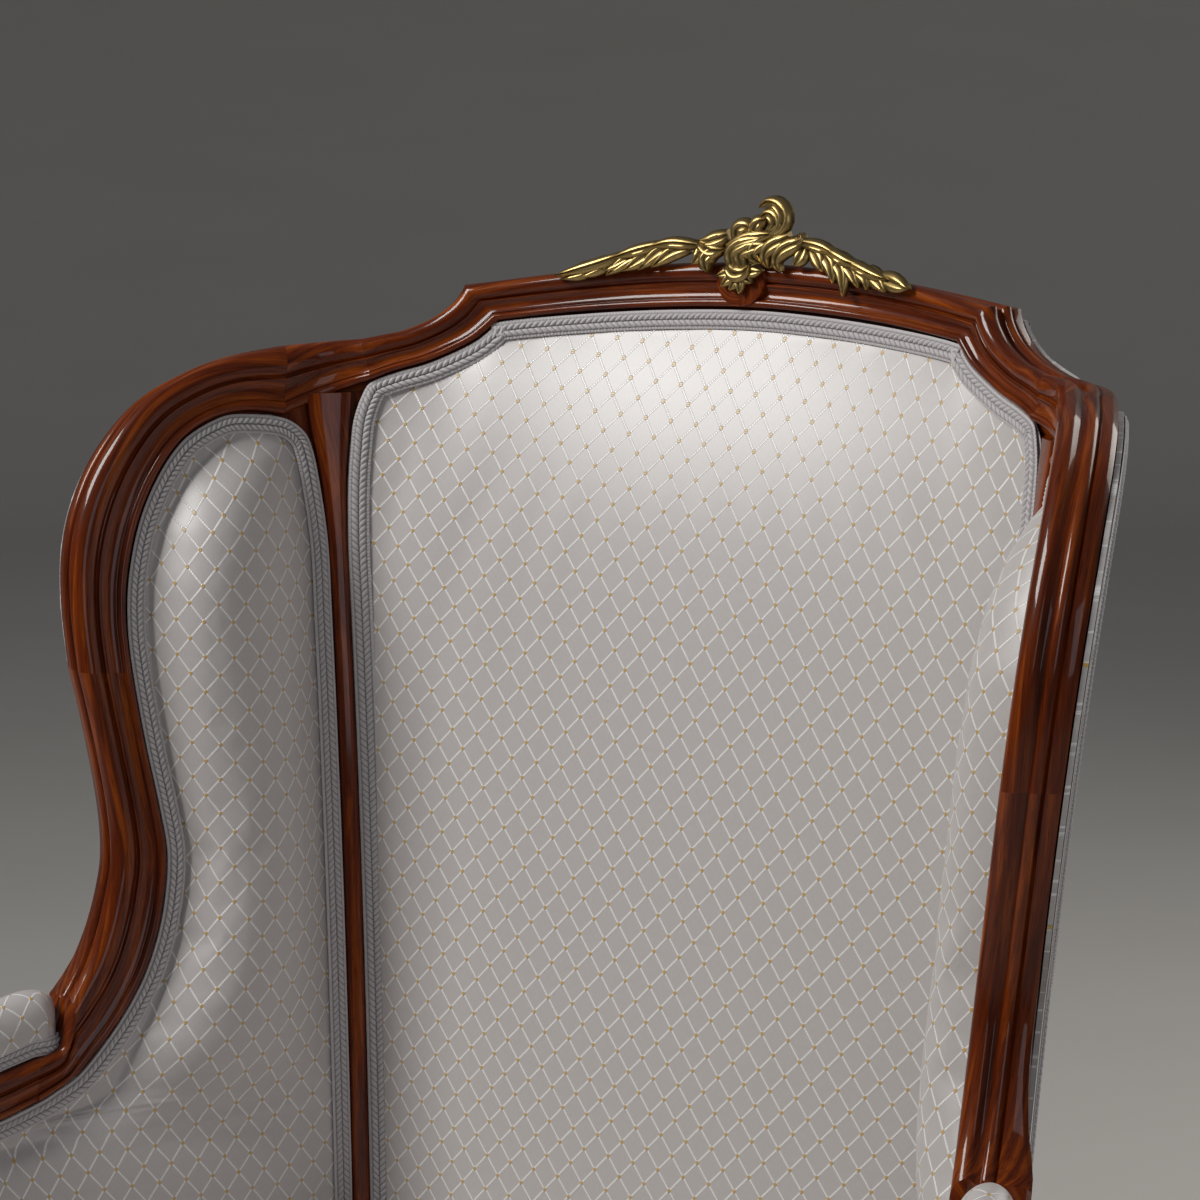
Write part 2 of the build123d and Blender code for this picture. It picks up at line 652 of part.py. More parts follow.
# Braid: a flat strip laid along an edge, over the margin of the cloth
def turned_in(points, side):
    # Direction into the panel at each point of a path, on the left (1) or the right (-1)
    ways = []
    for i in range(len(points)):
        p, q = points[max(i - 1, 0)], points[min(i + 1, len(points) - 1)]
        m = hypot(q[0] - p[0], q[1] - p[1])
        ways.append((-side * (q[1] - p[1]) / m, side * (q[0] - p[0]) / m))
    return ways


def fine(path, step=24.0):
    # The same path with more points where it runs far along the curved side
    rows = [path[0]]
    for p, q in zip(path, path[1:]):
        parts = max(1, round(abs(q[0] - p[0]) / step))
        for k in range(1, parts + 1):
            rows.append((p[0] + (q[0] - p[0]) * k / parts, p[1] + (q[1] - p[1]) * k / parts))
    return rows


def braid_section(edge, inward, face, lift):
    across = inward - edge
    with BuildSketch(Plane(edge, x_dir=across, z_dir=across.cross(face))) as section:
        with Locations((1.0 + gimp_wide / 2, lift + gimp_thick / 2)):
            Rectangle(gimp_wide, gimp_thick)
    return section.sketch


def back_braid(path, lift):
    rows = []
    for (u, z), (du, dz) in zip(path, turned_in(path, 1)):
        inward = back_point(u + 9 * du, z + 9 * dz)
        rows.append(braid_section(back_point(u, z), inward, back_normal(u), lift))
    return rows


def side_braid(path, lift):
    rows = []
    for (s, z), (ds, dz) in zip(path, turned_in(path, -1)):
        inward = side_point(s + 9 * ds, z + 9 * dz)
        rows.append(braid_section(side_point(s, z), inward, side_normal(s), lift))
    return rows


back_path = [(u, z) for z, u in inner_edge if z > 355]
back_path = [(between(inner_edge, 360.0), 360.0)] + back_path
back_path = back_path + [(-u, z) for u, z in reversed(back_path[:-1])]
with BuildPart() as back_gimp:
    loft(back_braid(fine(back_path), pad_edge + 2.0), ruled=True)

side_path = [(post_face, z) for z in (358.0, 450.0, 550.0, 650.0, 750.0, 850.0)]
side_path += [(s, z) for z, s in side_rear[1:-1]] + [(36.0, 987.5)]
side_path += [(s, z) for z, s in reversed(side_front) if z > 540.5]
side_path += [(340.0, 540.2), (390.0, 539.5), (425.0, 537.5), (437.0, 529.0)]
side_path += [(s, z) for z, s in reversed(side_front) if 365 < z < 525] + [(408.5, 358.0)]
with BuildPart() as side_gimp_right:
    loft(side_braid(fine(side_path), pad_edge + 2.4), ruled=True)

outer_path = [(back_cover_half(z), z) for z, swell in back_cover_rows[1:]]
outer_path = outer_path + [(-u, z) for u, z in reversed(outer_path)]
with BuildPart() as back_cover_gimp:
    loft(back_braid(fine(outer_path), -cover_out - gimp_thick - 2.0), ruled=True)

outer_heights = (352.0, 450.0, 550.0, 650.0, 750.0, 850.0, 930.0, 980.0, 1010.0)
outer_rear = [(side_cover_ends(z)[0], z) for z in outer_heights]
outer_front = [(side_cover_ends(z)[1], z) for z in reversed(side_cover_heights[1:])]
with BuildPart() as side_cover_gimp_right:
    loft(side_braid(fine(outer_rear + outer_front), -cover_out - gimp_thick - 1.6), ruled=True)

# Arm pads sit on the low part of the arms between the rear block and the hand
arm_pad_rows = [(234.0, 0.62), (242.0, 0.86), (262.0, 1.0), (290.0, 1.05), (325.0, 1.05), (360.0, 1.05)]
arm_pad_rows += [(390.0, 1.0), (408.0, 0.86), (416.0, 0.62)]
arm_top = [(231.0, 581.0), (262.0, 575.0), (310.0, 570.0), (365.0, 569.0), (420.0, 572.0)]
pad_high = 38.0


def arm_plane(s):
    # Upright plane across the arm, resting on its top at the distance s
    at = side_point(s, between(arm_top, s) + clear)
    return Plane(at, x_dir=side_normal(s), z_dir=side_normal(s).cross(Vector(0, 0, 1)))


def arm_pad_section(s, k):
    with BuildSketch(arm_plane(s)) as section:
        with BuildLine():
            Polyline((3, 12), (3, 0.3), (-29, 0.3), (-29, 12))
            ThreePointArc((-29, 12), (-29 - 6 * k, 20), (-27, 28 * k))
            ThreePointArc((-27, 28 * k), (-13, pad_high * k), (1, 28 * k))
            ThreePointArc((1, 28 * k), (3 + 6 * k, 20), (3, 12))
        make_face()
    return section.sketch


with BuildPart() as arm_pad_right:
    loft([arm_pad_section(s, fill) for s, fill in arm_pad_rows], ruled=True)


def arm_braid_section(s, n):
    with BuildSketch(arm_plane(s)) as section:
        with Locations((n, 6.1)):
            Rectangle(gimp_thick, 10.0)
    return section.sketch


with BuildPart() as arm_gimp_right:
    for n in (3.8 + gimp_thick / 2, -29.8 - gimp_thick / 2):
        stations = along_side(234.0, 416.0, 8)
        loft([arm_braid_section(s, n) for s in stations], ruled=True)

# Loose seat cushion: a boxed bag with a crowned top, drawn in along its edges
cushion_rows = [(cushion_low, 15.0), (352.0, 5.0), (364.0, 0.8), (386.0, 0.0), (408.0, 0.3), (426.0, 2.0)]
cushion_rows += [(438.0, 7.0), (447.0, 19.0), (454.0, 55.0), (cushion_high, 115.0)]
rear_mid = back_line(400.0) - 53.0
rear_corner = Vector(168.0, rear_mid + 3.0)
flank_rear = side_point(40.0, 400.0, 37.0)
flank_mid = side_point(215.0, 400.0, 45.0)
flank_front = side_point(452.0, 400.0, 12.0)
nose_corner = Vector(flank_front.X - 26, front_line(flank_front.X - 26) - 14)


def cushion_section(z, inset):
    # Plan of the cushion, pulled in by the inset all round
    k = inset
    a = (rear_corner.X - k * 0.8, rear_corner.Y - k)
    b = (flank_rear.X - k, flank_rear.Y - k * 0.6)
    c = (flank_mid.X - k, flank_mid.Y)
    d = (flank_front.X - k, flank_front.Y + k * 0.6)
    e = (nose_corner.X - k * 0.8, nose_corner.Y + k)
    f = (0, front_line(0) - 16 + k)
    g = (0, rear_mid - k)
    with BuildSketch(Plane.XY.offset(z)) as section:
        with BuildLine():
            ThreePointArc((-a[0], a[1]), g, a)
            Line(a, b)
            ThreePointArc(b, c, d)
            Line(d, e)
            ThreePointArc(e, f, (-e[0], e[1]))
            Line((-e[0], e[1]), (-d[0], d[1]))
            ThreePointArc((-d[0], d[1]), (-c[0], c[1]), (-b[0], b[1]))
            Line((-b[0], b[1]), (-a[0], a[1]))
        make_face()
    return section.sketch


with BuildPart() as seat_cushion:
    loft([cushion_section(z, inset) for z, inset in cushion_rows], ruled=True)

# Gilt crest mount: two leafy sprays and an uneven shell with scrolls between them
mount_lift = 16.8
spray_lift = 14.2


def leaf(rows, thick=7.0, lift=mount_lift):
    # One blade of the casting, as oval sections square to its line on the crest
    walk = even(rows, 7)
    sections = []
    for i in range(len(walk)):
        u, z, wide = walk[i]
        p, q = walk[max(i - 1, 0)], walk[min(i + 1, len(walk) - 1)]
        at = back_point(u, z, lift)
        ahead = back_point(q[0], q[1], lift) - back_point(p[0], p[1], lift)
        with BuildSketch(Plane(at, x_dir=ahead.cross(back_normal(u)), z_dir=ahead)) as section:
            Ellipse(wide / 2, min(thick, wide) / 2)
        sections.append(section.sketch)
    return sections


left_blades = [
    [(-29, 1102, 13), (-56, 1104, 17), (-92, 1094, 13), (-137, 1082, 3)],
    [(-40, 1099, 9), (-54, 1091, 9), (-66, 1086, 3)],
    [(-62, 1099, 9), (-80, 1089, 8), (-96, 1083, 3)],
    [(-92, 1092, 8), (-106, 1084, 7), (-122, 1079, 3)],
    [(-50, 1104, 9), (-70, 1106, 7), (-86, 1101, 3)],
]
right_blades = [
    [(33, 1103, 14), (56, 1103, 18), (92, 1093, 13), (141, 1082, 3)],
    [(44, 1099, 9), (54, 1089, 9), (62, 1081, 3)],
    [(62, 1097, 10), (78, 1086, 9), (87, 1073, 4)],
    [(90, 1091, 9), (106, 1083, 7), (120, 1077, 3)],
    [(44, 1106, 9), (66, 1106, 7), (84, 1100, 3)],
]
centre_blades = [
    [(2, 1114, 16), (-2, 1100, 26), (0, 1086, 20), (2, 1072, 5)],
    [(-4, 1098, 9), (-17, 1104, 10), (-15, 1116, 8), (-3, 1118, 5)],
    [(4, 1098, 9), (18, 1102, 10), (20, 1112, 9), (10, 1119, 6)],
    [(8, 1112, 11), (13, 1122, 11), (22, 1130, 9), (17, 1137, 4)],
    [(-4, 1088, 8), (-14, 1084, 8), (-18, 1077, 3)],
    [(6, 1088, 8), (15, 1083, 8), (18, 1076, 3)],
]
with BuildPart() as mount_spray_left:
    for rows in left_blades:
        loft(leaf(rows, lift=spray_lift))
with BuildPart() as mount_spray_right:
    for rows in right_blades:
        loft(leaf(rows, lift=spray_lift))
with BuildPart() as mount_centre:
    for rows in centre_blades:
        loft(leaf(rows, 9.0))


RIGHT = {
    "post": post_right,
    "wing_rail_upper": wing_rail_upper_right,
    "wing_rail_lower": wing_rail_lower_right,
    "arm": arm_right,
    "arm_support": arm_support_right,
    "front_leg": front_leg_right,
    "side_seat_rail": side_seat_rail_right,
    "side_lower_rail": side_lower_rail_right,
    "corner_block": corner_block_right,
    "side_pad": side_pad_right,
    "side_cover": side_cover_right,
    "arm_pad": arm_pad_right,
    "side_gimp": side_gimp_right,
    "side_cover_gimp": side_cover_gimp_right,
    "arm_gimp": arm_gimp_right,
}
PARTS = {
    "crest_rail": crest_rail,
    "front_seat_rail": front_seat_rail,
    "back_seat_rail": back_seat_rail,
    "back_lower_rail": back_lower_rail,
    "seat_webbing": seat_webbing,
    "seat_canvas": seat_canvas,
    "seat_deck_pad": seat_deck_pad,
    "dust_cover": dust_cover,
    "back_webbing": back_webbing,
    "back_pad": back_pad,
    "back_cover": back_cover,
    "back_gimp": back_gimp,
    "back_cover_gimp": back_cover_gimp,
    "seat_cushion": seat_cushion,
    "mount_spray_left": mount_spray_left,
    "mount_spray_right": mount_spray_right,
    "mount_centre": mount_centre,
}
for name, right in RIGHT.items():
    with BuildPart() as left:
        mirror(right.part, about=Plane.YZ)
    PARTS[name + "_right"] = right
    PARTS[name + "_left"] = left

os.makedirs("parts", exist_ok=True)
for name, builder in PARTS.items():
    builder.part.label = name
    export_step(builder.part, "parts/" + name + ".step")
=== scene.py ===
from math import atan2, cos, degrees, hypot, pi, radians, sin, sqrt, tanh
import bpy
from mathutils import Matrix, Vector


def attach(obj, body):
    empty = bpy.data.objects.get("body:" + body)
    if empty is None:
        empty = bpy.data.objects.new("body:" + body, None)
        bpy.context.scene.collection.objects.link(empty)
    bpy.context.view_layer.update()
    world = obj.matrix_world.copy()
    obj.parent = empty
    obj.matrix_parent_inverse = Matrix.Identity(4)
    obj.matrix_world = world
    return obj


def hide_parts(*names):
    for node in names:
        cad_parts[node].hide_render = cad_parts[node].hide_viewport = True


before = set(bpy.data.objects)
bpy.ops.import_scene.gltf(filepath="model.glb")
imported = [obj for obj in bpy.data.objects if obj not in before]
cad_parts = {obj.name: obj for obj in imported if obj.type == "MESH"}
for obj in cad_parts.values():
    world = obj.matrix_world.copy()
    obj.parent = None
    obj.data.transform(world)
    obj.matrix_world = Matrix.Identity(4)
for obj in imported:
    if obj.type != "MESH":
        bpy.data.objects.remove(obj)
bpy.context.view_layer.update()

# Studio: a round pale floor that curves up into a backdrop on all sides, a large soft lamp from the
# upper left, a weaker one from the right and one behind that lights the back and edges the polish.
MM = 0.001


def linear(code):
    # An sRGB hex colour as linear red, green, blue and alpha
    parts = [int(code[k:k + 2], 16) / 255 for k in (1, 3, 5)]
    return [c / 12.92 if c <= 0.04045 else ((c + 0.055) / 1.055) ** 2.4 for c in parts] + [1.0]


def fill(made, inputs):
    # Sets each input of a node, or links it to a socket or to another node's first output
    for key, value in inputs.items():
        if isinstance(value, bpy.types.Node):
            value = value.outputs[0]
        if isinstance(value, bpy.types.NodeSocket):
            made.id_data.links.new(value, made.inputs[key])
        else:
            made.inputs[key].default_value = value


def node(tree, kind, inputs=None, **settings):
    # Adds a shader node, sets its properties, then fills or links its sockets
    made = tree.nodes.new("ShaderNode" + kind)
    for key, value in settings.items():
        setattr(made, key, value)
    fill(made, inputs or {})
    return made


def new_material(name):
    made = bpy.data.materials.new(name)
    made.use_nodes = True
    tree = made.node_tree
    return made, tree, tree.nodes["Principled BSDF"]


studio = bpy.context.scene
studio.view_settings.view_transform = "Standard"
floor_flat = 7.5
cove_radius = 1.5
cove_arc = cove_radius * pi / 2
floor_run = 13.0
bpy.ops.object.select_all(action="DESELECT")
bpy.ops.mesh.primitive_grid_add(x_subdivisions=96, y_subdivisions=52, size=2)
floor = bpy.context.object
floor.name = "studio_floor"
for v in floor.data.vertices:
    around = pi * v.co.x
    run = (v.co.y + 1) / 2 * floor_run
    bend = min(max(run - floor_flat, 0.0), cove_arc)
    r = min(run, floor_flat) + cove_radius * sin(bend / cove_radius)
    z = cove_radius * (1 - cos(bend / cove_radius)) + max(run - floor_flat - cove_arc, 0.0)
    v.co = (r * cos(around), r * sin(around), z)
bpy.ops.object.mode_set(mode="EDIT")
bpy.ops.mesh.select_all(action="SELECT")
bpy.ops.mesh.remove_doubles(threshold=1e-5)
bpy.ops.object.mode_set(mode="OBJECT")
floor_mat, tree, surface = new_material("pale_studio_paper")
tooth = node(tree, "TexNoise", {"Scale": 40.0, "Detail": 4.0})
tint = node(tree, "Mix", {0: tooth, 6: linear("#C9C6C1"), 7: linear("#CFCDC9")}, data_type="RGBA")
fill(surface, {"Base Color": tint.outputs[2], "Roughness": 0.9})
floor.data.materials.append(floor_mat)
bpy.ops.object.shade_smooth()

world = bpy.data.worlds.new("studio_world")
world.use_nodes = True
studio.world = world
sky = world.node_tree.nodes["Background"]
fill(sky, {"Color": linear("#C4C6CA"), "Strength": 0.2})


def lamp(name, place, aim, size, power, colour):
    light = bpy.data.lights.new(name, "AREA")
    light.shape = "RECTANGLE"
    light.size, light.size_y = size
    light.energy = power
    light.color = linear(colour)[:3]
    holder = bpy.data.objects.new(name, light)
    studio.collection.objects.link(holder)
    holder.location = place
    holder.rotation_euler = (Vector(aim) - Vector(place)).to_track_quat("-Z", "Y").to_euler()


lamp("key_lamp", (-1.5, -1.7, 2.9), (0.0, 0.1, 0.8), (1.2, 1.2), 74.0, "#FFFDFA")
lamp("fill_lamp", (2.6, -1.6, 1.6), (0.0, 0.0, 0.7), (1.2, 1.6), 7.0, "#F4F6FF")
lamp("back_lamp", (1.1, 2.9, 2.2), (0.0, 0.2, 0.7), (2.0, 1.6), 30.0, "#FFFAF2")

# The view of the photograph: from the front right, a little above the crest, with a long lens
photo_side = 1200.0
lens_pixels = 3517.0
view_yaw = radians(35.08)
view_pitch = radians(8.35)
camera = bpy.data.cameras.new("photo_camera")
camera.sensor_width = 36.0
camera.lens = lens_pixels / photo_side * camera.sensor_width
camera_holder = bpy.data.objects.new("photo_camera", camera)
studio.collection.objects.link(camera_holder)
camera_holder.location = (1.236, -1.6351, 1.208)
forward = Vector((-sin(view_yaw) * cos(view_pitch), cos(view_yaw) * cos(view_pitch), -sin(view_pitch)))
camera_holder.rotation_euler = forward.to_track_quat("-Z", "Y").to_euler()
studio.camera = camera_holder

# Crest rail: one carved length of mahogany across the top of the back, hollowed in plan, with a
# serpentine upper edge that steps down to the wings. A moulding is worked along its face.
# The back and the sides of the chair are bent surfaces: u or s runs along, z up, n out to the sitter.
seat_top = 330.0
back_y, back_rake, back_curve = 217.57, 0.03, 9.5e-5
post_half, post_splay, post_curve = 230.0, 0.02, 7.9e-5
bow_deep, bow_half, bow_power = 73.0, 271.0, 2.5
side_turns = [(0, 31), (200, 24), (320, 0), (520, -4)]


def back_line(z):
    d = z - seat_top
    return back_y + back_rake * d + back_curve * d * d


def post_x(z):
    d = z - seat_top
    return post_half + post_splay * d + post_curve * d * d


def bow(u):
    return bow_deep * (abs(u) / bow_half) ** bow_power


def bow_slope(u):
    slope = bow_deep * bow_power / bow_half * (abs(u) / bow_half) ** (bow_power - 1)
    return slope if u >= 0 else -slope


def back_normal(u):
    m = hypot(bow_slope(u), 1.0)
    return Vector((-bow_slope(u) / m, -1.0 / m, 0))


def back_point(u, z, n=0.0):
    return Vector((u, back_line(z) - bow(u), z)) + back_normal(u) * n


def side_plan(s):
    # Walks the plan curve of the side, an arc at a time, to the distance s
    x, y, heading = 0.0, 0.0, side_turns[0][1]
    for (s0, h0), (s1, h1) in zip(side_turns, side_turns[1:]):
        turn = radians(h1 - h0) / (s1 - s0)
        b0 = radians(h0)
        b1 = b0 + turn * (min(s, s1) - s0)
        x += (cos(b0) - cos(b1)) / turn
        y -= (sin(b1) - sin(b0)) / turn
        heading = degrees(b1)
        if s <= s1:
            break
    return x, y, heading


def side_normal(s):
    b = radians(side_plan(s)[2])
    return Vector((-cos(b), -sin(b), 0))


def side_point(s, z, n=0.0):
    x, y, heading = side_plan(s)
    u = post_x(z)
    return Vector((u + x, back_line(z) - bow(u) + y, z)) + side_normal(s) * n


def between(pairs, value):
    # Straight interpolation in a rising list of (value, result) pairs
    for (a, fa), (b, fb) in zip(pairs, pairs[1:]):
        if value <= b:
            return fa + (fb - fa) * (max(value, a) - a) / (b - a)
    return pairs[-1][1]


def even(rows, count):
    # A smooth walk through rows of numbers, taken again at evenly spaced places
    dense = []
    for i in range(len(rows) - 1):
        a, b = rows[max(i - 1, 0)], rows[i]
        c, d = rows[i + 1], rows[min(i + 2, len(rows) - 1)]
        for k in range(16):
            t = k / 16
            w = (t * (t * (2 - t) - 1) / 2, 1 + t * t * (3 * t - 5) / 2)
            w += (t * (1 + t * (4 - 3 * t)) / 2, t * t * (t - 1) / 2)
            dense.append([sum(f * v for f, v in zip(w, q)) for q in zip(a, b, c, d)])
    dense.append(list(rows[-1]))
    reach = [0.0]
    for p, q in zip(dense, dense[1:]):
        reach.append(reach[-1] + sqrt(sum((x - y) ** 2 for x, y in zip(p, q))))
    picked, i = [], 0
    for k in range(count):
        goal = reach[-1] * k / (count - 1)
        while i < len(reach) - 2 and reach[i + 1] < goal:
            i += 1
        f = (goal - reach[i]) / max(reach[i + 1] - reach[i], 1e-9)
        picked.append([p + (q - p) * f for p, q in zip(dense[i], dense[i + 1])])
    return picked


def skin(name, rows, maps=None, closed=True):
    # A grid primitive laid over rows of points in millimetres. Maps gives each point's place on the
    # cloth or along the grain. Closed rows are joined round and their two ends are filled.
    across, along = len(rows[0]) - 1, len(rows) - 1
    bpy.ops.object.select_all(action="DESELECT")
    bpy.ops.mesh.primitive_grid_add(x_subdivisions=across, y_subdivisions=along, size=2, calc_uvs=True)
    piece = bpy.context.object
    piece.name = name
    mesh = piece.data
    mesh.name = name
    if maps is None:
        maps = []
        reach = 0.0
        for j, row in enumerate(rows):
            reach += (row[0] - rows[j - 1][0]).length if j else 0.0
            wide = [0.0]
            for p, q in zip(row, row[1:]):
                wide.append(wide[-1] + (q - p).length)
            maps.append([(reach, w) for w in wide])
    spots = []
    for v in mesh.vertices:
        i = round((v.co.x + 1) / 2 * across)
        j = round((v.co.y + 1) / 2 * along)
        spots.append(maps[j][i])
        v.co = rows[j][i] * MM
    layer = mesh.uv_layers.active.data
    for loop in mesh.loops:
        u, v = spots[loop.vertex_index]
        layer[loop.index].uv = (u * MM, v * MM)
    bpy.ops.object.mode_set(mode="EDIT")
    bpy.ops.mesh.select_all(action="SELECT")
    if closed:
        bpy.ops.mesh.remove_doubles(threshold=1e-6)
        bpy.ops.mesh.fill_holes(sides=0)
        bpy.ops.mesh.normals_make_consistent(inside=False)
    bpy.ops.object.mode_set(mode="OBJECT")
    return piece


def pick(*pieces):
    # Selects these pieces alone and makes the first one active
    bpy.ops.object.select_all(action="DESELECT")
    for piece in pieces:
        piece.select_set(True)
    bpy.context.view_layer.objects.active = pieces[0]


def dress(piece, material, body="frame", cads=(), angle=38.0):
    # Smooth shading, finish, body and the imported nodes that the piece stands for
    pick(piece)
    bpy.ops.object.shade_smooth_by_angle(angle=radians(angle))
    piece.data.materials.clear()
    piece.data.materials.append(material)
    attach(piece, body)
    if cads:
        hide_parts(*cads)


# Mahogany, stained red-brown and French polished: a clear glossy film over straight grain with
# short dark pores. The eye sees an orange glow where light enters and near-black in the quirks.
mahogany, tree, surface = new_material("french_polished_mahogany")
figure_long, figure_wide = 110.0, 6.5
pore_long, pore_wide = 16.0, 0.7
spot = node(tree, "UVMap", uv_map="UVMap")
stretch = node(tree, "Mapping", {
    "Vector": spot, "Scale": (1 / (figure_long * MM), 1 / (figure_wide * MM), 1.0)})
figure = node(tree, "TexNoise", {
    "Vector": stretch, "Scale": 1.0, "Detail": 6.0, "Roughness": 0.6, "Distortion": 0.5})
fine_grain = node(tree, "Mapping", {
    "Vector": spot, "Scale": (1 / (pore_long * MM), 1 / (pore_wide * MM), 1.0)})
pores = node(tree, "TexNoise", {"Vector": fine_grain, "Scale": 1.0, "Detail": 2.0})
ramp = node(tree, "ValToRGB", {"Fac": figure})
pore_ramp = node(tree, "ValToRGB", {"Fac": pores})
for tones, light_at, dark, light in (
        (ramp, 0.72, "#401403", "#A04C09"), (pore_ramp, 0.46, "#6A5A55", "#FFFFFF")):
    low, high = tones.color_ramp.elements
    low.position, low.color = 0.3, linear(dark)
    high.position, high.color = light_at, linear(light)
ramp.color_ramp.elements.new(0.5).color = linear("#682704")
pored = node(tree, "Mix", {0: 0.7, 6: ramp, 7: pore_ramp}, data_type="RGBA", blend_type="MULTIPLY")
dimple = node(tree, "Bump", {"Strength": 0.08, "Distance": 0.4 * MM, "Height": figure})
fill(surface, {
    "Base Color": pored.outputs[2], "Normal": dimple, "Roughness": 0.36, "Specular IOR Level": 0.08,
    "Coat Weight": 0.55, "Coat Roughness": 0.07, "Coat IOR": 1.5})

frame_depth = 24.0
lip = 10.0


def arc(first, through, last, count):
    # Points of the circle through three points of a section
    (x1, y1), (x2, y2), (x3, y3) = first, through, last
    d = 2 * (x1 * (y2 - y3) + x2 * (y3 - y1) + x3 * (y1 - y2))
    q1, q2, q3 = x1 * x1 + y1 * y1, x2 * x2 + y2 * y2, x3 * x3 + y3 * y3
    cx = (q1 * (y2 - y3) + q2 * (y3 - y1) + q3 * (y1 - y2)) / d
    cy = (q1 * (x3 - x2) + q2 * (x1 - x3) + q3 * (x2 - x1)) / d
    r = hypot(x1 - cx, y1 - cy)
    a1 = atan2(y1 - cy, x1 - cx)
    a2 = atan2(y2 - cy, x2 - cx)
    a3 = atan2(y3 - cy, x3 - cx)
    while a2 < a1:
        a2 += 2 * pi
    while a3 < a1:
        a3 += 2 * pi
    if a2 > a3:
        a3 -= 2 * pi
    turns = [a1 + (a3 - a1) * k / count for k in range(count + 1)]
    return [(cx + r * cos(a), cy + r * sin(a)) for a in turns]


def moulding(w, bead, deep):
    # Section of the show frame: rebate lip, inner bead, hollow, quirk and outer roll, then a fine
    # bead along the outer edge and an eased back arris
    points = [(-lip, -deep), (-lip, 0), (-0.4, 0), (0, 0.4), (0, 6.5)]
    points += arc((0, 6.5), (0.085 * w, 7 + 2.2 * bead), (0.165 * w, 7), 8)[1:]
    points += [(0.17 * w, 6.5), (0.18 * w, 6.4)]
    points += arc((0.19 * w, 6.9), (0.34 * w, 7 - 1.2 * bead), (0.49 * w, 8.3), 8)
    points += [(0.502 * w, 8.4), (0.51 * w, 8.0), (0.53 * w, 6.3), (0.545 * w, 6.1)]
    points += arc((0.555 * w, 6.6), (0.78 * w, 10.2), (w - 0.6, 1.5), 12)
    points += [(w - 1.2, 0.2), (w - 3.3, -2.3), (w - 3.5, -3.0), (w - 3.5, -5.5)]
    points += arc((w - 3.5, -5.5), (w, -9.5), (w - 3.5, -13.5), 8)[1:]
    points += [(w - 3.0, -14.3), (w - 2, -15), (w - 2, 3.4 - deep), (w - 2.4, 2.6 - deep)]
    points += [(w - 5, -deep), (-lip, -deep)]
    return points


def section(inner, outer, face, bead=1.0, deep=frame_depth):
    along = outer - inner
    w = along.length
    along = along / w
    out = (face - along * face.dot(along)).normalized()
    return [inner + along * a + out * b for a, b in moulding(w, bead, deep)]


def on_back(row, bead=1.0):
    ui, zi, uo, zo = row
    return section(back_point(ui, zi), back_point(uo, zo), back_normal((ui + uo) / 2), bead)


def on_side(row, bead=1.0, deep=frame_depth):
    si, zi, so, zo = row
    return section(side_point(si, zi), side_point(so, zo), side_normal((si + so) / 2), bead, deep)


def flipped(rows):
    return [(-ui, zi, -uo, zo) for ui, zi, uo, zo in reversed(rows)]


crest_half = [(60, 1062, 62, 1090.5), (120, 1057.5, 127, 1084), (177.5, 1051, 203, 1074.5)]
crest_middle = flipped(crest_half) + [(0.0, 1064.0, 0.0, 1093.0)] + crest_half
crest_step = [
    (177.5, 1051, 203, 1074.5), (184, 1045, 205.5, 1067.5), (192, 1038, 211, 1060),
    (204, 1031, 221, 1051.5), (222, 1022.5, 237, 1043.5), (240, 1016.5, 250, 1040),
    (254.4, 1010.04, 261.9, 1037.52),
]
crest_rows = flipped(even(crest_step, 25))[:-1] + even(crest_middle, 61) + even(crest_step, 25)[1:]
crest = skin("crest_rail_show", [on_back(r) for r in crest_rows])
dress(crest, mahogany, cads=["crest_rail"])

# The round tongue of wood in the middle of the crest, left standing as a seat for the gilt mount
tongue_z, tongue_flat = 1084.0, 1090.5
tongue_rows = []
tongue_steps = [(3, 19), (9, 19), (10.3, 18.6), (10.8, 17.8), (11, 16.5), (11, 9), (11, 0.5)]
for rise, size in tongue_steps:
    turns = [2 * pi * i / 48 for i in range(49)]
    ring = [(size * sin(a), min(tongue_z - size * cos(a), tongue_flat)) for a in turns]
    tongue_rows.append([back_point(u, z, rise) for u, z in ring])
tongue = skin("crest_tongue_show", tongue_rows)
dress(tongue, mahogany)

# Wing rails and arms: the moulding runs on round the wing, down its waist and out along the arm.
# They are sawn from thick mahogany in three lengths a side and dowelled end to end.
arm_depth = 34.0
wing_upper = [
    (34.15, 988.02, 30.15, 1034), (60, 991.5, 66, 1028.5), (84, 988, 98, 1018.5),
    (108, 975, 133, 1000.5), (128, 951, 162, 970), (143, 921, 180, 938),
    (152, 887, 189.5, 905), (154.5, 856, 191.5, 868), (152.5, 825, 188.5, 828),
]
wing_lower = [
    (152.5, 825, 188.5, 828), (146, 779, 179.5, 781), (138, 735, 173, 736),
    (134, 705, 172, 705), (137, 675, 176, 684), (144, 648, 183, 660),
    (156, 621, 191, 640), (175, 594, 198.5, 627), (200, 568, 204.5, 617.5),
]
wing_extra = [(0, 0), (0.57, 0), (0.64, 0.5), (0.71, 2), (0.79, 4.5), (0.86, 7.5), (0.93, 9.5), (1, 10)]
arm_rear = [
    (200, 568, 204.5, 617.5), (205, 565, 208, 601), (211, 562, 212.5, 586),
    (221, 557.5, 221.5, 582), (232, 553, 231, 581),
]
arm_seat = [
    (231, 553.3, 231, 581), (262, 546, 262, 575), (310, 541, 310, 570),
    (365, 540, 365, 569), (420, 543, 420, 572),
]
arm_hand = [
    (419, 543, 419, 592), (440, 546, 440, 596), (462, 547, 465, 592),
    (478, 545, 488, 578), (484, 540, 500, 556),
]


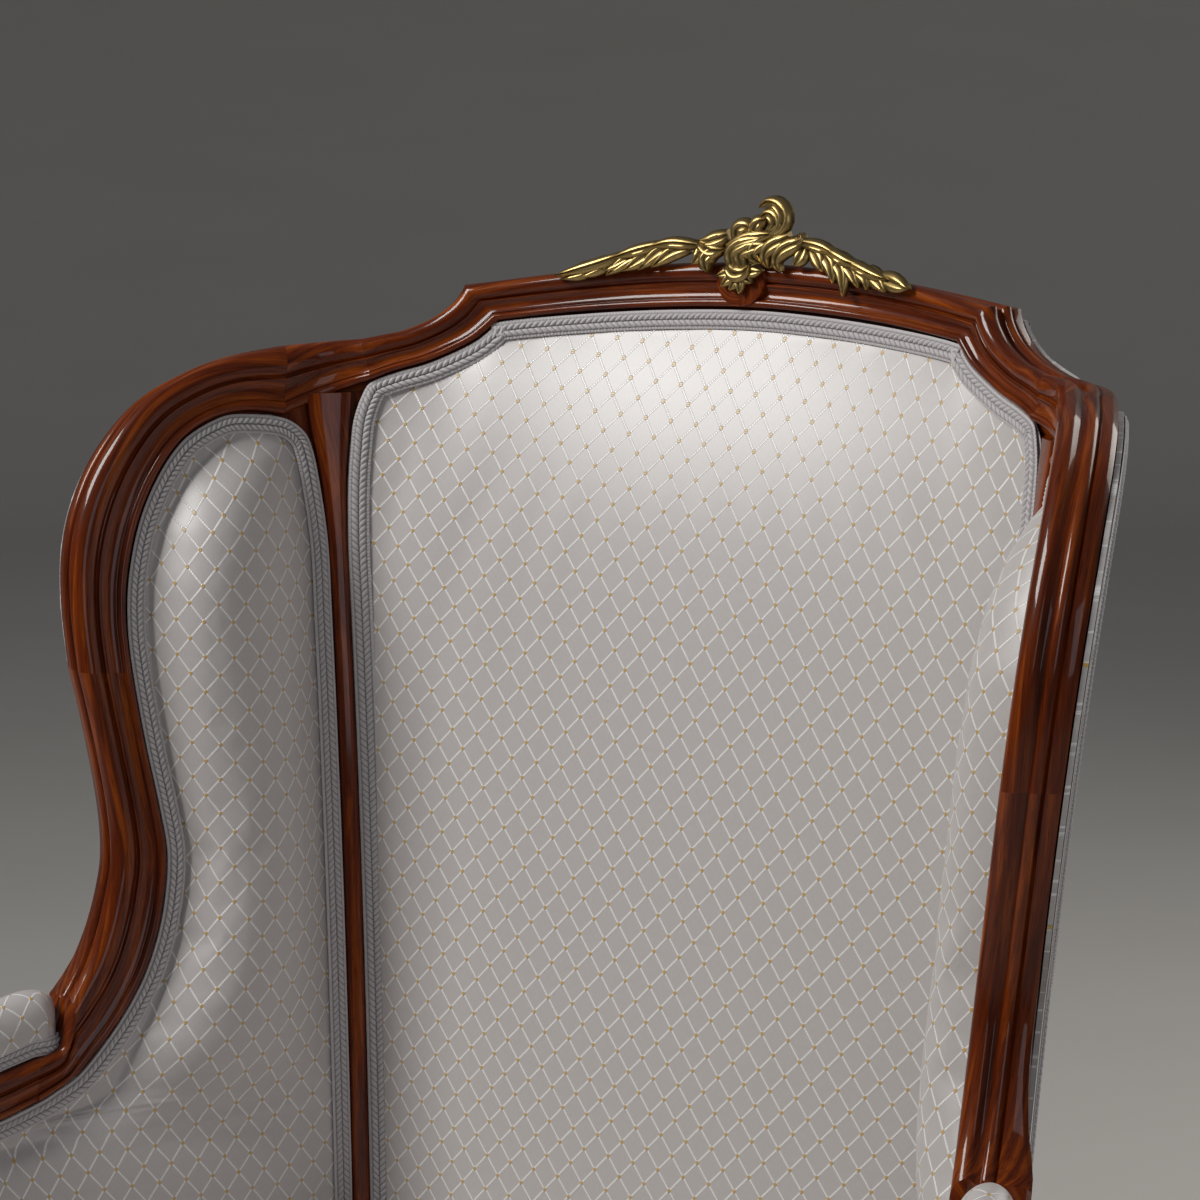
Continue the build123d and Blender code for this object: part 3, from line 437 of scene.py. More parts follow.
def join(name, pieces):
    # Joins pieces of one part into one object
    pick(*pieces)
    bpy.ops.object.join()
    made = bpy.context.object
    made.name = name
    made.data.name = name
    return made


def other_side(piece, name):
    # The same piece on the chair's left: its own mesh, mirrored and turned right side out
    pick(piece)
    bpy.ops.object.duplicate()
    made = bpy.context.object
    made.name = name
    made.data.name = name
    bpy.ops.object.mode_set(mode="EDIT")
    bpy.ops.mesh.select_all(action="SELECT")
    bpy.ops.transform.mirror(
        orient_type="GLOBAL", constraint_axis=(True, False, False), center_override=(0, 0, 0))
    bpy.ops.mesh.flip_normals()
    bpy.ops.object.mode_set(mode="OBJECT")
    return made


def dress_pair(piece, base, material, angle=38.0):
    # Dresses a right-hand piece and its mirrored copy, and returns both
    left = other_side(piece, base + "_show_left")
    dress(piece, material, cads=[base + "_right"], angle=angle)
    dress(left, material, cads=[base + "_left"], angle=angle)
    return piece, left


upper = skin("wing_rail_upper_show_right", [on_side(r) for r in even(wing_upper, 61)])
lower_rows = even(wing_lower, 61)
lower_deep = [frame_depth + between(wing_extra, k / 60) for k in range(61)]
lower = skin("wing_rail_lower_show_right", [on_side(r, deep=d) for r, d in zip(lower_rows, lower_deep)])
arm = join("arm_show_right", [
    skin("arm_block", [on_side(r, deep=arm_depth) for r in even(arm_rear, 21)]),
    skin("arm_bed", [on_side(r, 0.6, arm_depth) for r in even(arm_seat, 41)]),
    skin("arm_knuckle", [on_side(r, 0.6, arm_depth) for r in even(arm_hand, 25)]),
])
for piece, base in ((upper, "wing_rail_upper"), (lower, "wing_rail_lower"), (arm, "arm")):
    dress_pair(piece, base, mahogany)

# Back posts: each is one length from the foot to the head, where it swells into a hollow panel
# between the crest and the wing. A narrow rounded strip of it shows between back and side.
# Post_turn is the cosine of the back's slope where it meets the post.
post_deep = 28.0
post_face = 7.5
post_body = 20.0
post_turn = 0.83
leg_round = 0.28
face_rise = 8.0
head_z = 1036.0
post_flares = [(250, post_face, post_face), (900, post_face, post_face), (940, 9, 10)]
post_flares += [(965, 11.5, 13), (985, 14, 16), (1002, 16, 16.5)]
rear_leg = [(300, 0, 38), (250, 1, 40), (200, 4, 39), (150, 11, 36)]
rear_leg += [(100, 22, 33), (50, 36, 30), (0, 50, 29)]


def post_row(z):
    u = post_x(z)
    corner = Vector((u, back_line(z) - bow(u), z))
    nb, ns = back_normal(u), side_normal(0)
    tb, ts = Vector((nb.y, -nb.x, 0)), Vector((-ns.y, ns.x, 0))
    back_face = between([(h, b) for h, b, s in post_flares], z)
    side_face = between([(h, s) for h, b, s in post_flares], z)
    waist = post_body - post_face
    heel = (nb + ns).normalized()
    ring = [corner - heel * post_deep * 1.08, corner + ts * post_body - ns * post_deep]
    ring += [corner + ts * (side_face + waist), corner + ts * side_face]
    first = corner + ts * side_face + ns * face_rise * 0.82
    last = corner + tb * back_face + nb * face_rise * 0.82
    for k in range(13):
        f = k / 12
        swell = (1 - (2 * f - 1) ** 4) * face_rise * 0.3
        ring.append(first + (last - first) * f + heel * swell)
    ring += [corner + tb * back_face, corner + tb * (back_face + waist)]
    ring.append(corner + tb * post_body - nb * post_deep)
    return ring + ring[:1]


def rounded(wide, deep, radius, steps=6):
    # A rectangle with round corners, as a closed ring about its middle
    ring = []
    x_mid, y_mid = wide / 2 - radius, deep / 2 - radius
    for k, (x, y) in enumerate(((1, 1), (-1, 1), (-1, -1), (1, -1))):
        for i in range(steps + 1):
            a = (k + i / steps) * pi / 2
            ring.append((x * x_mid + radius * cos(a), y * y_mid + radius * sin(a)))
    return ring + ring[:1]


def bent(three, t):
    # A point of the parabola through three points
    a, b, c = three
    return a * (1 - t) * (1 - 2 * t) + b * 4 * t * (1 - t) + c * t * (2 * t - 1)


head_face = (back_normal(post_x(head_z)) + side_normal(0)).normalized()
head_three = list(zip(
    on_back((254.5, 1010.0, 262.0, 1037.5)),
    section(side_point(0, 1000.0), side_point(0, head_z), head_face, 0.2),
    on_side((34.0, 988.0, 30.0, 1034.0)),
))
foot = side_point(0, seat_top) - (back_normal(post_half) + side_normal(0)).normalized() * 16
leg_rows = []
for z, dy, size in even(rear_leg, 33):
    ring = [Vector((x, y, 0)) for x, y in rounded(size, size, size * leg_round)]
    turned = [Vector(((p.x - p.y) * sqrt(0.5), (p.x + p.y) * sqrt(0.5), 0)) for p in ring]
    leg_rows.append([Vector((foot.x, foot.y + dy, z)) + p for p in turned])
post = join("post_show_right", [
    skin("post_strip", [post_row(250.0 + 752.0 * k / 60) for k in range(61)]),
    skin("post_head", [[bent(three, k / 14) for three in head_three] for k in range(15)]),
    skin("post_leg", leg_rows),
])
dress_pair(post, "post", mahogany)

# Seat rails, front legs and arm supports: square mahogany, the rails beaded along the lower edge
# and the front one shaped, the front legs sawn to a cabriole curve and tenoned to the rails.
rail_low = 262.0
rail_thick = 30.0
leg_size = 54.0
leg_s = 478.0
leg_mid = side_point(leg_s, seat_top, -rail_thick / 2 - 6)
front_x = leg_mid.x - leg_size / 2 - 0.3
post_edge = post_half - post_body * post_turn - 2.0
up = Vector((0, 0, 1))


def rail_row(at, out, low, inside=6.0):
    a, b, high = inside, inside + rail_thick, seat_top
    points = [(a, low), (a, high), (b - 4, high), (b - 3, high - 0.5)]
    points += arc((b - 3, high - 0.6), (b + 0.5, (low + high) / 2 + 5), (b - 2, low + 13), 12)
    points += [(b - 3.6, low + 11.6), (b - 4, low + 11)]
    points += arc((b - 4, low + 11), (b + 1, low + 5.5), (b - 3, low), 8)[1:] + [(a, low)]
    return [Vector((at.x, at.y, 0)) + out * x + up * z for x, z in points]


def spread(first, last, count):
    return [first + (last - first) * k / (count - 1) for k in range(count)]


def front_line(x):
    return leg_mid.y + 6 - 30 * cos(pi * x / 2 / (front_x + 60))


def apron_low(x):
    return rail_low + 1 - 11 * cos(2 * pi * x / front_x) + 8 * (1 - (x / front_x) ** 2)


side_stations = spread(post_body + 0.8, leg_s - leg_size / 2 - 0.5, 41)
side_rail = skin("side_seat_rail_show_right", [
    rail_row(side_point(s, seat_top), -side_normal(s), rail_low) for s in side_stations])
dress_pair(side_rail, "side_seat_rail", mahogany)
back_rail = skin("back_seat_rail_show", [
    rail_row(back_point(u, seat_top), -back_normal(u), rail_low)
    for u in spread(-post_edge, post_edge, 41)])
dress(back_rail, mahogany, cads=["back_seat_rail"])
front_rail = skin("front_seat_rail_show", [
    rail_row(Vector((x, front_line(x), 0)), Vector((0, -1, 0)), apron_low(x), -15.0)
    for x in spread(-front_x, front_x, 81)])
dress(front_rail, mahogany, cads=["front_seat_rail"])

block_low = 250.0
cabriole = [(4, 52), (11, 51), (8, 45), (-2, 38), (-11, 32), (-15, 28.5), (-9, 31), (4, 40)]
knee_out = Vector((0.64, -0.77, 0))
knee_rows = []
for z, off, size in even([(block_low * (1 - k / 7), *row) for k, row in enumerate(cabriole)], 49):
    middle_at = Vector((leg_mid.x, leg_mid.y, z)) + knee_out * off
    size = size - 3.0 * max(0.0, 1 - z / 5)
    knee_rows.append([middle_at + Vector((x, y, 0)) for x, y in rounded(size, size, size * leg_round)])
block_steps = [(seat_top, leg_size - 2), (seat_top - 1, leg_size), (block_low + 6, leg_size)]
block_steps += [(block_low - 4, leg_size - 1), (block_low - 8, leg_size - 3)]
block_rows = []
for z, size in block_steps:
    ring = rounded(size, size, size * leg_round)
    block_rows.append([Vector((leg_mid.x + x, leg_mid.y + y, z)) for x, y in ring])
front_leg = join("front_leg_show_right", [skin("leg_block", block_rows), skin("leg_knee", knee_rows)])
dress_pair(front_leg, "front_leg", mahogany)

support_line = [(330, 430), (380, 424), (430, 427), (480, 441), (533.5, 459)]
support_thick, support_deep = 36.0, 34.0
support_rows = []
for z, s in even(support_line, 33):
    out = side_normal(s)
    ahead = up.cross(out)
    ring = rounded(support_thick, support_deep, 7.0)
    support_rows.append([side_point(s, z, -12.0) + out * x + ahead * y for x, y in ring])
support = skin("arm_support_show_right", support_rows)
dress_pair(support, "arm_support", mahogany)

# Inside back: a stuffed pad on webbing, close-covered in lattice satin that is drawn to the rebate
# of the frame and tacked there. It swells towards the sitter and rolls off along its top edge.
pad_edge = 4.0
back_edge = 1.2 * pad_edge
inner_edge = [(350.0 + 50 * k, post_x(350.0 + 50 * k) - post_face * post_turn) for k in range(12)]
inner_edge += [(940, post_x(940) - 8), (965, post_x(965) - 10.5), (985, post_x(985) - 13.5)]
inner_edge += [(1002, 259.5), (1010, 254.5)]
inner_edge += [(z, u) for u, z, outer_u, outer_z in reversed(crest_half + crest_step[1:-1])]
inner_edge += [(1064, 4)]
back_crown = [(358, 10), (372, 30), (420, 46), (500, 50), (600, 48), (700, 44)]
back_crown += [(800, 39), (880, 35), (940, 31), (1000, 28), (1070, 26)]
roll_depth = 95.0
tuck = 14.0


def top_edge(u):
    # Height of the frame's inner edge above a place across the back
    return between([(w, z) for z, w in reversed(inner_edge[12:])], abs(u))


def back_swell(u, z):
    toe = min(between(inner_edge, min(z, 985.0)), 262.0) - tuck
    crown = between(back_crown, z)
    share = min(abs(u) / toe, 1.0)
    full = crown - bow(u) + (bow(toe) + back_edge - crown) * share ** 2
    roll = min(max((top_edge(u) - tuck - z) / roll_depth, 0.0), 1.0)
    return back_edge + max(full - back_edge, 0.0) * (1 - (1 - roll) ** 2)


def cloth_run(points, start):
    # Distance along a row of the cloth at each of its points
    run = [start]
    for p, q in zip(points, points[1:]):
        run.append(run[-1] + (q - p).length)
    return run


back_heights = spread(356.0, 1000.0, 75) + spread(1006.0, 1060.0, 14)
back_rows, back_maps = [], []
for z in back_heights:
    h = between(inner_edge, z + 1.5) - 1.2
    row = [back_point(h * f, z, 2.6) for f in spread(-1.0, 1.0, 9)]
    places = [(h * f, z) for f in spread(-1.0, 1.0, 9)]
    face = [Vector((u, back_line(z) - bow(u) - back_swell(u, z), z)) for u in spread(h, -h, 57)]
    run = cloth_run(face, 0.0)
    row += face
    places += [(run[28] - r, z) for r in run]
    back_rows.append(row + row[:1])
    back_maps.append(places + places[:1])

# Ivory satin, woven with a diamond lattice of white stitched lines and a gold dot at each crossing:
# a smooth float weave gives a soft broad shine, and the lattice threads stand a little proud.
lattice_wide, lattice_high = 19.5, 23.0
lattice_turn = radians(2.9)
line_half, dot_radius = 0.036, 0.088
stitch_count = 9.0
thread = 0.7
satin, tree, surface = new_material("lattice_satin")
spot = node(tree, "UVMap", uv_map="UVMap")
grid = node(tree, "Mapping", {"Vector": spot, "Rotation": (0, 0, lattice_turn)})
fill(grid, {"Scale": (1 / (lattice_wide * MM), 1 / (lattice_high * MM), 1.0)})
split = node(tree, "SeparateXYZ", {0: grid})
lines = []
for way in ("ADD", "SUBTRACT"):
    slant = node(tree, "Math", {0: split.outputs[0], 1: split.outputs[1]}, operation=way)
    near = node(tree, "Math", {0: slant, 1: 0.5}, operation="PINGPONG")
    lines.append((slant, near))
(slant_a, near_a), (slant_b, near_b) = lines
stitched = []
for near, across in ((near_a, slant_b), (near_b, slant_a)):
    beat = node(tree, "Math", {0: across, 1: 0.5 / stitch_count}, operation="PINGPONG")
    gap = node(tree, "MapRange", {0: beat, 2: 0.25 / stitch_count, 3: 0.45})
    mark = node(tree, "MapRange", {
        0: near, 1: line_half * 0.7, 2: line_half * 1.5, 3: 1.0, 4: 0.0}, interpolation_type="SMOOTHSTEP")
    stitched.append(node(tree, "Math", {0: mark, 1: gap}, operation="MULTIPLY"))
line = node(tree, "Math", {0: stitched[0], 1: stitched[1]}, operation="MAXIMUM")
far_a = node(tree, "Math", {0: near_a, 1: near_a}, operation="MULTIPLY")
far_b = node(tree, "Math", {0: near_b, 1: near_b, 2: far_a}, operation="MULTIPLY_ADD")
apart = node(tree, "Math", {0: far_b}, operation="SQRT")
dot = node(tree, "MapRange", {
    0: apart, 1: dot_radius * 0.75, 2: dot_radius * 1.15, 3: 1.0, 4: 0.0}, interpolation_type="SMOOTHSTEP")
weave = node(tree, "Mapping", {"Vector": spot, "Scale": (1 / (thread * MM), 0.18 / (thread * MM), 1.0)})
floats = node(tree, "TexNoise", {"Vector": weave, "Scale": 1.0, "Detail": 3.0})
ground = node(tree, "Mix", {0: floats, 6: linear("#BDB8B6"), 7: linear("#CDC9C7")}, data_type="RGBA")
lined = node(tree, "Mix", {0: line, 6: ground.outputs[2], 7: linear("#FAF9F7")}, data_type="RGBA")
dotted = node(tree, "Mix", {0: dot, 6: lined.outputs[2], 7: linear("#D2AC62")}, data_type="RGBA")
shine = node(tree, "MapRange", {0: line, 3: 0.38, 4: 0.28})
raised = node(tree, "Math", {0: dot, 1: 1.2, 2: line}, operation="MULTIPLY_ADD")
tufted = node(tree, "Math", {0: floats, 1: 0.12, 2: raised}, operation="MULTIPLY_ADD")
relief = node(tree, "Bump", {"Strength": 0.6, "Distance": 0.4 * MM, "Height": tufted})
fill(surface, {
    "Base Color": dotted.outputs[2], "Roughness": shine, "Normal": relief,
    "Sheen Weight": 0.25, "Sheen Roughness": 0.35, "Specular IOR Level": 0.8})


def stuffed(piece, held, pressure, cap, frames=20):
    # Cloth with stuffing in it: pressed out from inside for a few frames with its sewn points held,
    # no point moving much past the cap in millimetres, then rounded by one subdivision
    mesh = piece.data
    pick(piece)
    rest = [v.co.copy() for v in mesh.vertices]
    sewn = piece.vertex_groups.new(name="sewn")
    sewn.add(held, 1.0, "REPLACE")
    cloth = piece.modifiers.new("stuffing", "CLOTH")
    cloth.settings.vertex_group_mass = "sewn"
    cloth.settings.quality = 5
    cloth.settings.mass = 0.3
    cloth.settings.tension_stiffness = 15.0
    cloth.settings.compression_stiffness = 15.0
    cloth.settings.bending_stiffness = 0.5
    cloth.settings.use_pressure = True
    cloth.settings.uniform_pressure_force = pressure
    cloth.settings.effector_weights.gravity = 0.0
    cloth.collision_settings.use_collision = False
    for step in range(1, frames + 1):
        studio.frame_set(step)
    bpy.ops.object.modifier_apply(modifier=cloth.name)
    for v, p in zip(mesh.vertices, rest):
        move = v.co - p
        far = move.length / (cap * MM)
        if far > 1e-6:
            v.co = p + move * (tanh(far) / far)
    studio.frame_set(1)
    piece.vertex_groups.clear()
    smooth = piece.modifiers.new("rounding", "SUBSURF")
    smooth.levels = 1
    smooth.render_levels = 1
    smooth.use_limit_surface = False
    bpy.ops.object.modifier_apply(modifier=smooth.name)


def key(point):
    # A point's place to a hundredth of a millimetre, for telling points apart
    return tuple(round(c, 2) for c in point)


def near_points(piece, test):
    # Numbers of the vertices whose place, in millimetres, passes the test
    return [v.index for v in piece.data.vertices if test(v.co / MM)]


back_pad = skin("back_pad_show", back_rows, back_maps)
seam = back_edge + 0.6
stuffed(back_pad, near_points(back_pad, lambda p: back_line(p.z) - bow(p.x) - p.y < seam), 3.0, 6.0)
dress(back_pad, satin, cads=["back_pad"], angle=60.0)

# Inside sides: each runs from the post to the wing rail above the arm and on below it to the arm
# support. The stuffing is fullest behind the wing's front edge and thins towards the post.
side_rear = [(350, post_face), (900, post_face), (940, 11), (965, 15), (978, 21), (989, 40)]
side_front = [(350, 409.5), (380, 405.5), (430, 408.5), (480, 422), (520, 435.5), (536.5, 440)]
side_front += [(540, 365), (541, 310), (546, 262), (553, 232), (558.5, 218)]
side_front += [(z, s) for s, z, outer_s, outer_z in reversed(wing_upper[2:-1] + wing_lower)]
side_front += [(991, 66)]
front_tuck = [(354, 14), (480, 16), (505, 22), (517, 40), (526, 200), (536, 205)]
front_tuck += [(541, 80), (548, 60), (558, 40), (568, 30), (580, 24), (610, 18)]
front_tuck += [(650, 15), (880, 15), (915, 17), (942, 20), (973, 28), (988, 12)]
side_crown = [(354, 9), (368, 21), (420, 29), (480, 27), (505, 23), (517, 18)]
side_crown += [(536, 17), (548, 22), (568, 31), (580, 34), (610, 37), (650, 38)]
side_crown += [(830, 39), (880, 38), (915, 34), (942, 26), (960, 17), (973, 6.5), (988, 4.2)]
fullest = [(354, 0.5), (536, 0.5), (558, 0.43), (610, 0.36), (880, 0.36), (942, 0.42), (973, 0.5)]


def side_ends(z):
    # Rear and front ends of the side pad at a height
    return between(side_rear, z) + 2.0, between(side_front, z + 1.6) - 2.0


def side_swell(s, z):
    rear, front = side_ends(z)
    first, last = front - between(front_tuck, z), rear + tuck
    top = first - between(fullest, z) * (first - last)
    rise = between(side_crown, z) - pad_edge
    if s >= first or s <= last:
        return pad_edge
    if s > top:
        return pad_edge + rise * (1 - ((s - top) / (first - top)) ** 2.1)
    return pad_edge + rise * (1 - ((top - s) / (top - last)) ** 2)


side_heights = spread(353.0, 512.0, 20) + spread(516.0, 562.0, 20) + spread(568.0, 960.0, 50)
side_heights += spread(964.0, 989.0, 8)
side_rows, side_maps = [], []
for z in side_heights:
    a, b = side_ends(z)
    row = [side_point(s, z, 0.4) for s in spread(a, b, 7)]
    places = [(-s, z) for s in spread(a, b, 7)]
    face = [side_point(s, z, side_swell(s, z)) for s in spread(a, b, 49)]
    row += reversed(face)
    places += [(-r, z) for r in reversed(cloth_run(face, a))]
    side_rows.append(row + row[:1])
    side_maps.append(places + places[:1])
side_pad = skin("side_pad_show_right", side_rows, side_maps)
edge_set = {key(p) for row in side_rows for p in row[:7]}
for z, row in zip(side_heights, side_rows):
    a, b = side_ends(z)
    edge_set |= {key(p) for s, p in zip(spread(b, a, 49), row[7:]) if side_swell(s, z) <= pad_edge + 0.3}
held = near_points(side_pad, lambda p: key(p) in edge_set)
stuffed(side_pad, held, 3.0, 5.0)
for piece in dress_pair(side_pad, "side_pad", satin, angle=60.0):
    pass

# Braid: a woven gimp half an inch wide, glued over the tacks along every edge of the cloth. Two
# rows of looped cord run down its middle, between narrow ribbed margins.
gimp_wide = 12.5
loop_long = 4.3
loop_slant = 0.45
rib_long = 2.4
lane = 2.15


def looped(a, t):
    # Height of the braid's face at a from its middle line and t along it
    m = abs(a)
    if m > 2 * lane:
        return 1.0 + 0.28 * cos(2 * pi * t / rib_long) - 0.5 * max(0.0, m - 5.4)
    x = (m - lane) / lane
    beat = t / loop_long + (0.5 if a > 0 else 0.0) + loop_slant * x
    knot = abs(cos(pi * beat))
    return 0.8 + 1.9 * sqrt(max(0.0, 1 - x * x)) * (0.3 + 0.7 * knot)


def gimp(name, path, spot_at, lift, side, out=1.0):
    # A strip of braid laid along a path on one of the chair's surfaces, its face towards out
    rough = sum(hypot(q[0] - p[0], q[1] - p[1]) for p, q in zip(path, path[1:]))
    walk = even(path, round(rough / 0.8))
    rows, maps, t = [], [], 0.0
    for i, (p, z) in enumerate(walk):
        before, after = walk[max(i - 2, 0)], walk[min(i + 2, len(walk) - 1)]
        m = hypot(after[0] - before[0], after[1] - before[1])
        dp, dz = -side * (after[1] - before[1]) / m, side * (after[0] - before[0]) / m
        t += hypot(p - walk[i - 1][0], z - walk[i - 1][1]) if i else 0.0
        row = []
        for a in spread(-gimp_wide / 2, gimp_wide / 2, 21):
            reach = 1.0 + gimp_wide / 2 + a
            row.append((reach, lift + out * looped(a, t)))
        row = [(1.0, lift)] + row + [(1.0 + gimp_wide, lift), (1.0, lift)]
        rows.append([spot_at(p + dp * r, z + dz * r, n) for r, n in row])
        maps.append([(t, r - 1.0 - gimp_wide / 2) for r, n in row])
    return skin(name, rows, maps)


# Pale silk and cotton: lilac-grey white, matt in the ribs and a little shiny on the cord
braid, tree, surface = new_material("woven_silk_gimp")
yarn = 0.5
spot = node(tree, "UVMap", uv_map="UVMap")
twist = node(tree, "Mapping", {"Vector": spot, "Rotation": (0, 0, radians(40))})
fill(twist, {"Scale": (1 / (yarn * MM), 0.4 / (yarn * MM), 1.0)})
ply = node(tree, "TexNoise", {"Vector": twist, "Scale": 1.0, "Detail": 2.0})
shade = node(tree, "Mix", {0: ply, 6: linear("#A8A3A6"), 7: linear("#E2DEDF")}, data_type="RGBA")
split = node(tree, "SeparateXYZ", {0: spot})
far_along, off_middle = split.outputs[0], split.outputs[1]
# Painted shade: the yarn colour is darkened in the furrows between the lanes and at the waists of the
# loops, not in the ribbed margins
furrow = node(tree, "Math", {0: off_middle, 1: lane * MM}, operation="PINGPONG")
trench = node(tree, "MapRange", {0: furrow, 2: 0.7 * MM, 3: 0.5})
second = node(tree, "Math", {0: off_middle, 1: 0.0}, operation="GREATER_THAN")
shift = node(tree, "Math", {
    0: second, 1: loop_long / 2 * MM, 2: -loop_slant * loop_long * MM}, operation="MULTIPLY_ADD")
aside = node(tree, "Math", {0: off_middle}, operation="ABSOLUTE")
lean = node(tree, "Math", {
    0: aside, 1: loop_slant * loop_long / lane, 2: far_along}, operation="MULTIPLY_ADD")
step = node(tree, "Math", {0: lean, 1: shift}, operation="ADD")
turn = node(tree, "Math", {0: step, 1: loop_long / 2 * MM}, operation="PINGPONG")
waist = node(tree, "MapRange", {0: turn, 1: 1.3 * MM, 2: 2.1 * MM, 3: 1.0, 4: 0.45})
margin = node(tree, "Math", {0: aside, 1: 2 * lane * MM}, operation="GREATER_THAN")
loops = node(tree, "Math", {0: waist, 1: margin}, operation="MAXIMUM")
shadow = node(tree, "Math", {0: trench, 1: loops}, operation="MULTIPLY")
shaded = node(tree, "VectorMath", {0: shade.outputs[2], "Scale": shadow}, operation="SCALE")
fuzz = node(tree, "Bump", {"Strength": 0.5, "Distance": 0.3 * MM, "Height": ply})
fill(surface, {"Base Color": shaded, "Normal": fuzz, "Roughness": 0.62, "Sheen Weight": 0.3})

back_path = [(between(inner_edge, 360), 360)] + [(u, z) for z, u in inner_edge if z > 361]
back_path = back_path + [(-u, z) for u, z in reversed(back_path[:-1])]
back_gimp = gimp("back_gimp_show", back_path, back_point, pad_edge + 1.8, 1)
dress(back_gimp, braid, cads=["back_gimp"], angle=50.0)

side_path = [(post_face, z) for z in (358, 450, 550, 650, 750, 850)]
side_path += [(s, z) for z, s in side_rear[1:-1]] + [(36, 987.5)]
side_path += [(s, z) for z, s in reversed(side_front) if z > 540.5]
side_path += [(340, 540.2), (390, 539.5), (425, 537.5), (437, 529)]
side_path += [(s, z) for z, s in reversed(side_front) if 365 < z < 525] + [(408.5, 358)]
side_gimp = gimp("side_gimp_show_right", side_path, side_point, pad_edge + 2.2, -1)
dress_pair(side_gimp, "side_gimp", braid, 50.0)

# Outside back and sides: the same satin over a thin lining, drawn flat over the back of the frame
# to its outer edge and finished with braid.
cover_in = frame_depth + 0.9
cover_thick = 3.0
cover_out = cover_in + cover_thick
back_cover_top = [(1000, 264), (1022, 258), (1030, 253), (1034, 245), (1037, 235)]
back_cover_top += [(1043, 219), (1051, 208), (1058, 201.5), (1065, 197), (1074, 126)]
back_cover_top += [(1080, 62), (1082, 8)]
back_cover_fill = [(334, 1), (360, 4), (470, 6), (830, 6), (940, 5), (1000, 3), (1034, 1), (1080, 0.5)]
wing_cover_edge = [(690, 121), (700, 127), (712, 140), (725, 155), (740, 166)]
wing_cover_edge += [(760, 171), (781, 174.5), (828, 183.5), (868, 186.5), (905, 184)]
wing_cover_edge += [(938, 174), (968, 156), (992, 131), (1008, 98), (1017, 66), (1021, 44)]
cover_neck = 930.0


def back_cover_half(z):
    at_post = post_x(z) - post_body * post_turn - 1.0 - max(0, z - cover_neck) / 60
    return min(between(back_cover_top, z), at_post)


def back_cover_rest(z):
    return cover_in + min(max(0, z - 1000) / 40, 1.0) * 1.2


def side_cover_ends(z):
    front = between(wing_cover_edge, z) if z >= 690 else between(side_front, z + lip + 4) - lip - 3.5
    return post_body + 0.6 + max(0, z - cover_neck) * 0.08, front


rows, maps = [], []
for z in spread(334.0, 1000.0, 60) + spread(1004.0, 1080.0, 39):
    h, rest = back_cover_half(z), back_cover_rest(z)
    places = [(h * f, z, -rest) for f in spread(-1.0, 1.0, 25)]
    for f in spread(1.0, -1.0, 49):
        places.append((h * f, z, -rest - cover_thick - between(back_cover_fill, z) * (1 - f * f)))
    rows.append([back_point(*p) for p in places + places[:1]])
    maps.append([(p[0], p[1]) for p in places + places[:1]])
back_cover = skin("back_cover_show", rows, maps)
dress(back_cover, satin, cads=["back_cover"], angle=50.0)

rows, maps = [], []
for z in spread(334.0, 518.0, 24) + spread(522.0, 560.0, 20) + spread(566.0, 1021.0, 92):
    a, b = side_cover_ends(z)
    places = [(a + (b - a) * f, z, -cover_in) for f in spread(0.0, 1.0, 13)]
    places += [(a + (b - a) * f, z, -cover_out - 3.2 * f * (1 - f)) for f in spread(1.0, 0.0, 33)]
    rows.append([side_point(*p) for p in places + places[:1]])
    maps.append([(p[0], p[1]) for p in places + places[:1]])
side_cover = skin("side_cover_show_right", rows, maps)
for piece in dress_pair(side_cover, "side_cover", satin, 50.0):
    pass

outer_path = [(back_cover_half(z), z) for z in spread(360, 1000, 12) + spread(1008, 1080, 19)]
outer_path = outer_path + [(-u, z) for u, z in reversed(outer_path)]
outer_gimp = gimp("back_cover_gimp_show", outer_path, back_point, -cover_out - 1.6, 1, -1.0)
dress(outer_gimp, braid, cads=["back_cover_gimp"], angle=50.0)
outer_heights = (352.0, 450.0, 550.0, 650.0, 750.0, 850.0, 930.0, 980.0, 1010.0)
side_outer = [(side_cover_ends(z)[0], z) for z in outer_heights]
front_heights = (352.0, 400.0, 460.0, 505.0, 520.0, 525.5, 531.5, 538.0, 545.0, 555.0, 580.0, 610.0, 650.0)
front_heights += tuple(z for z, s in wing_cover_edge)
side_outer += [(side_cover_ends(z)[1], z) for z in reversed(front_heights)]
side_outer_gimp = gimp("side_cover_gimp_show_right", side_outer, side_point, -cover_out - 0.9, -1, -1.0)
dress_pair(side_outer_gimp, "side_cover_gimp", braid, 50.0)

# Arm pads: small stuffed rolls on the low part of each arm, rounded at both ends, covered in the
# satin and edged with braid all round where the cloth is tacked to the wood.
arm_top = [(s, z) for inner_s, inner_z, s, z in arm_seat]
pad_first, pad_last = 209.0, 413.0
pad_half, pad_mid, pad_high = 16.0, -13.0, 40.0
pad_round = 17.0


def arm_spot(s, n, h):
    return side_point(s, between(arm_top, s) + 0.3 + h, n)


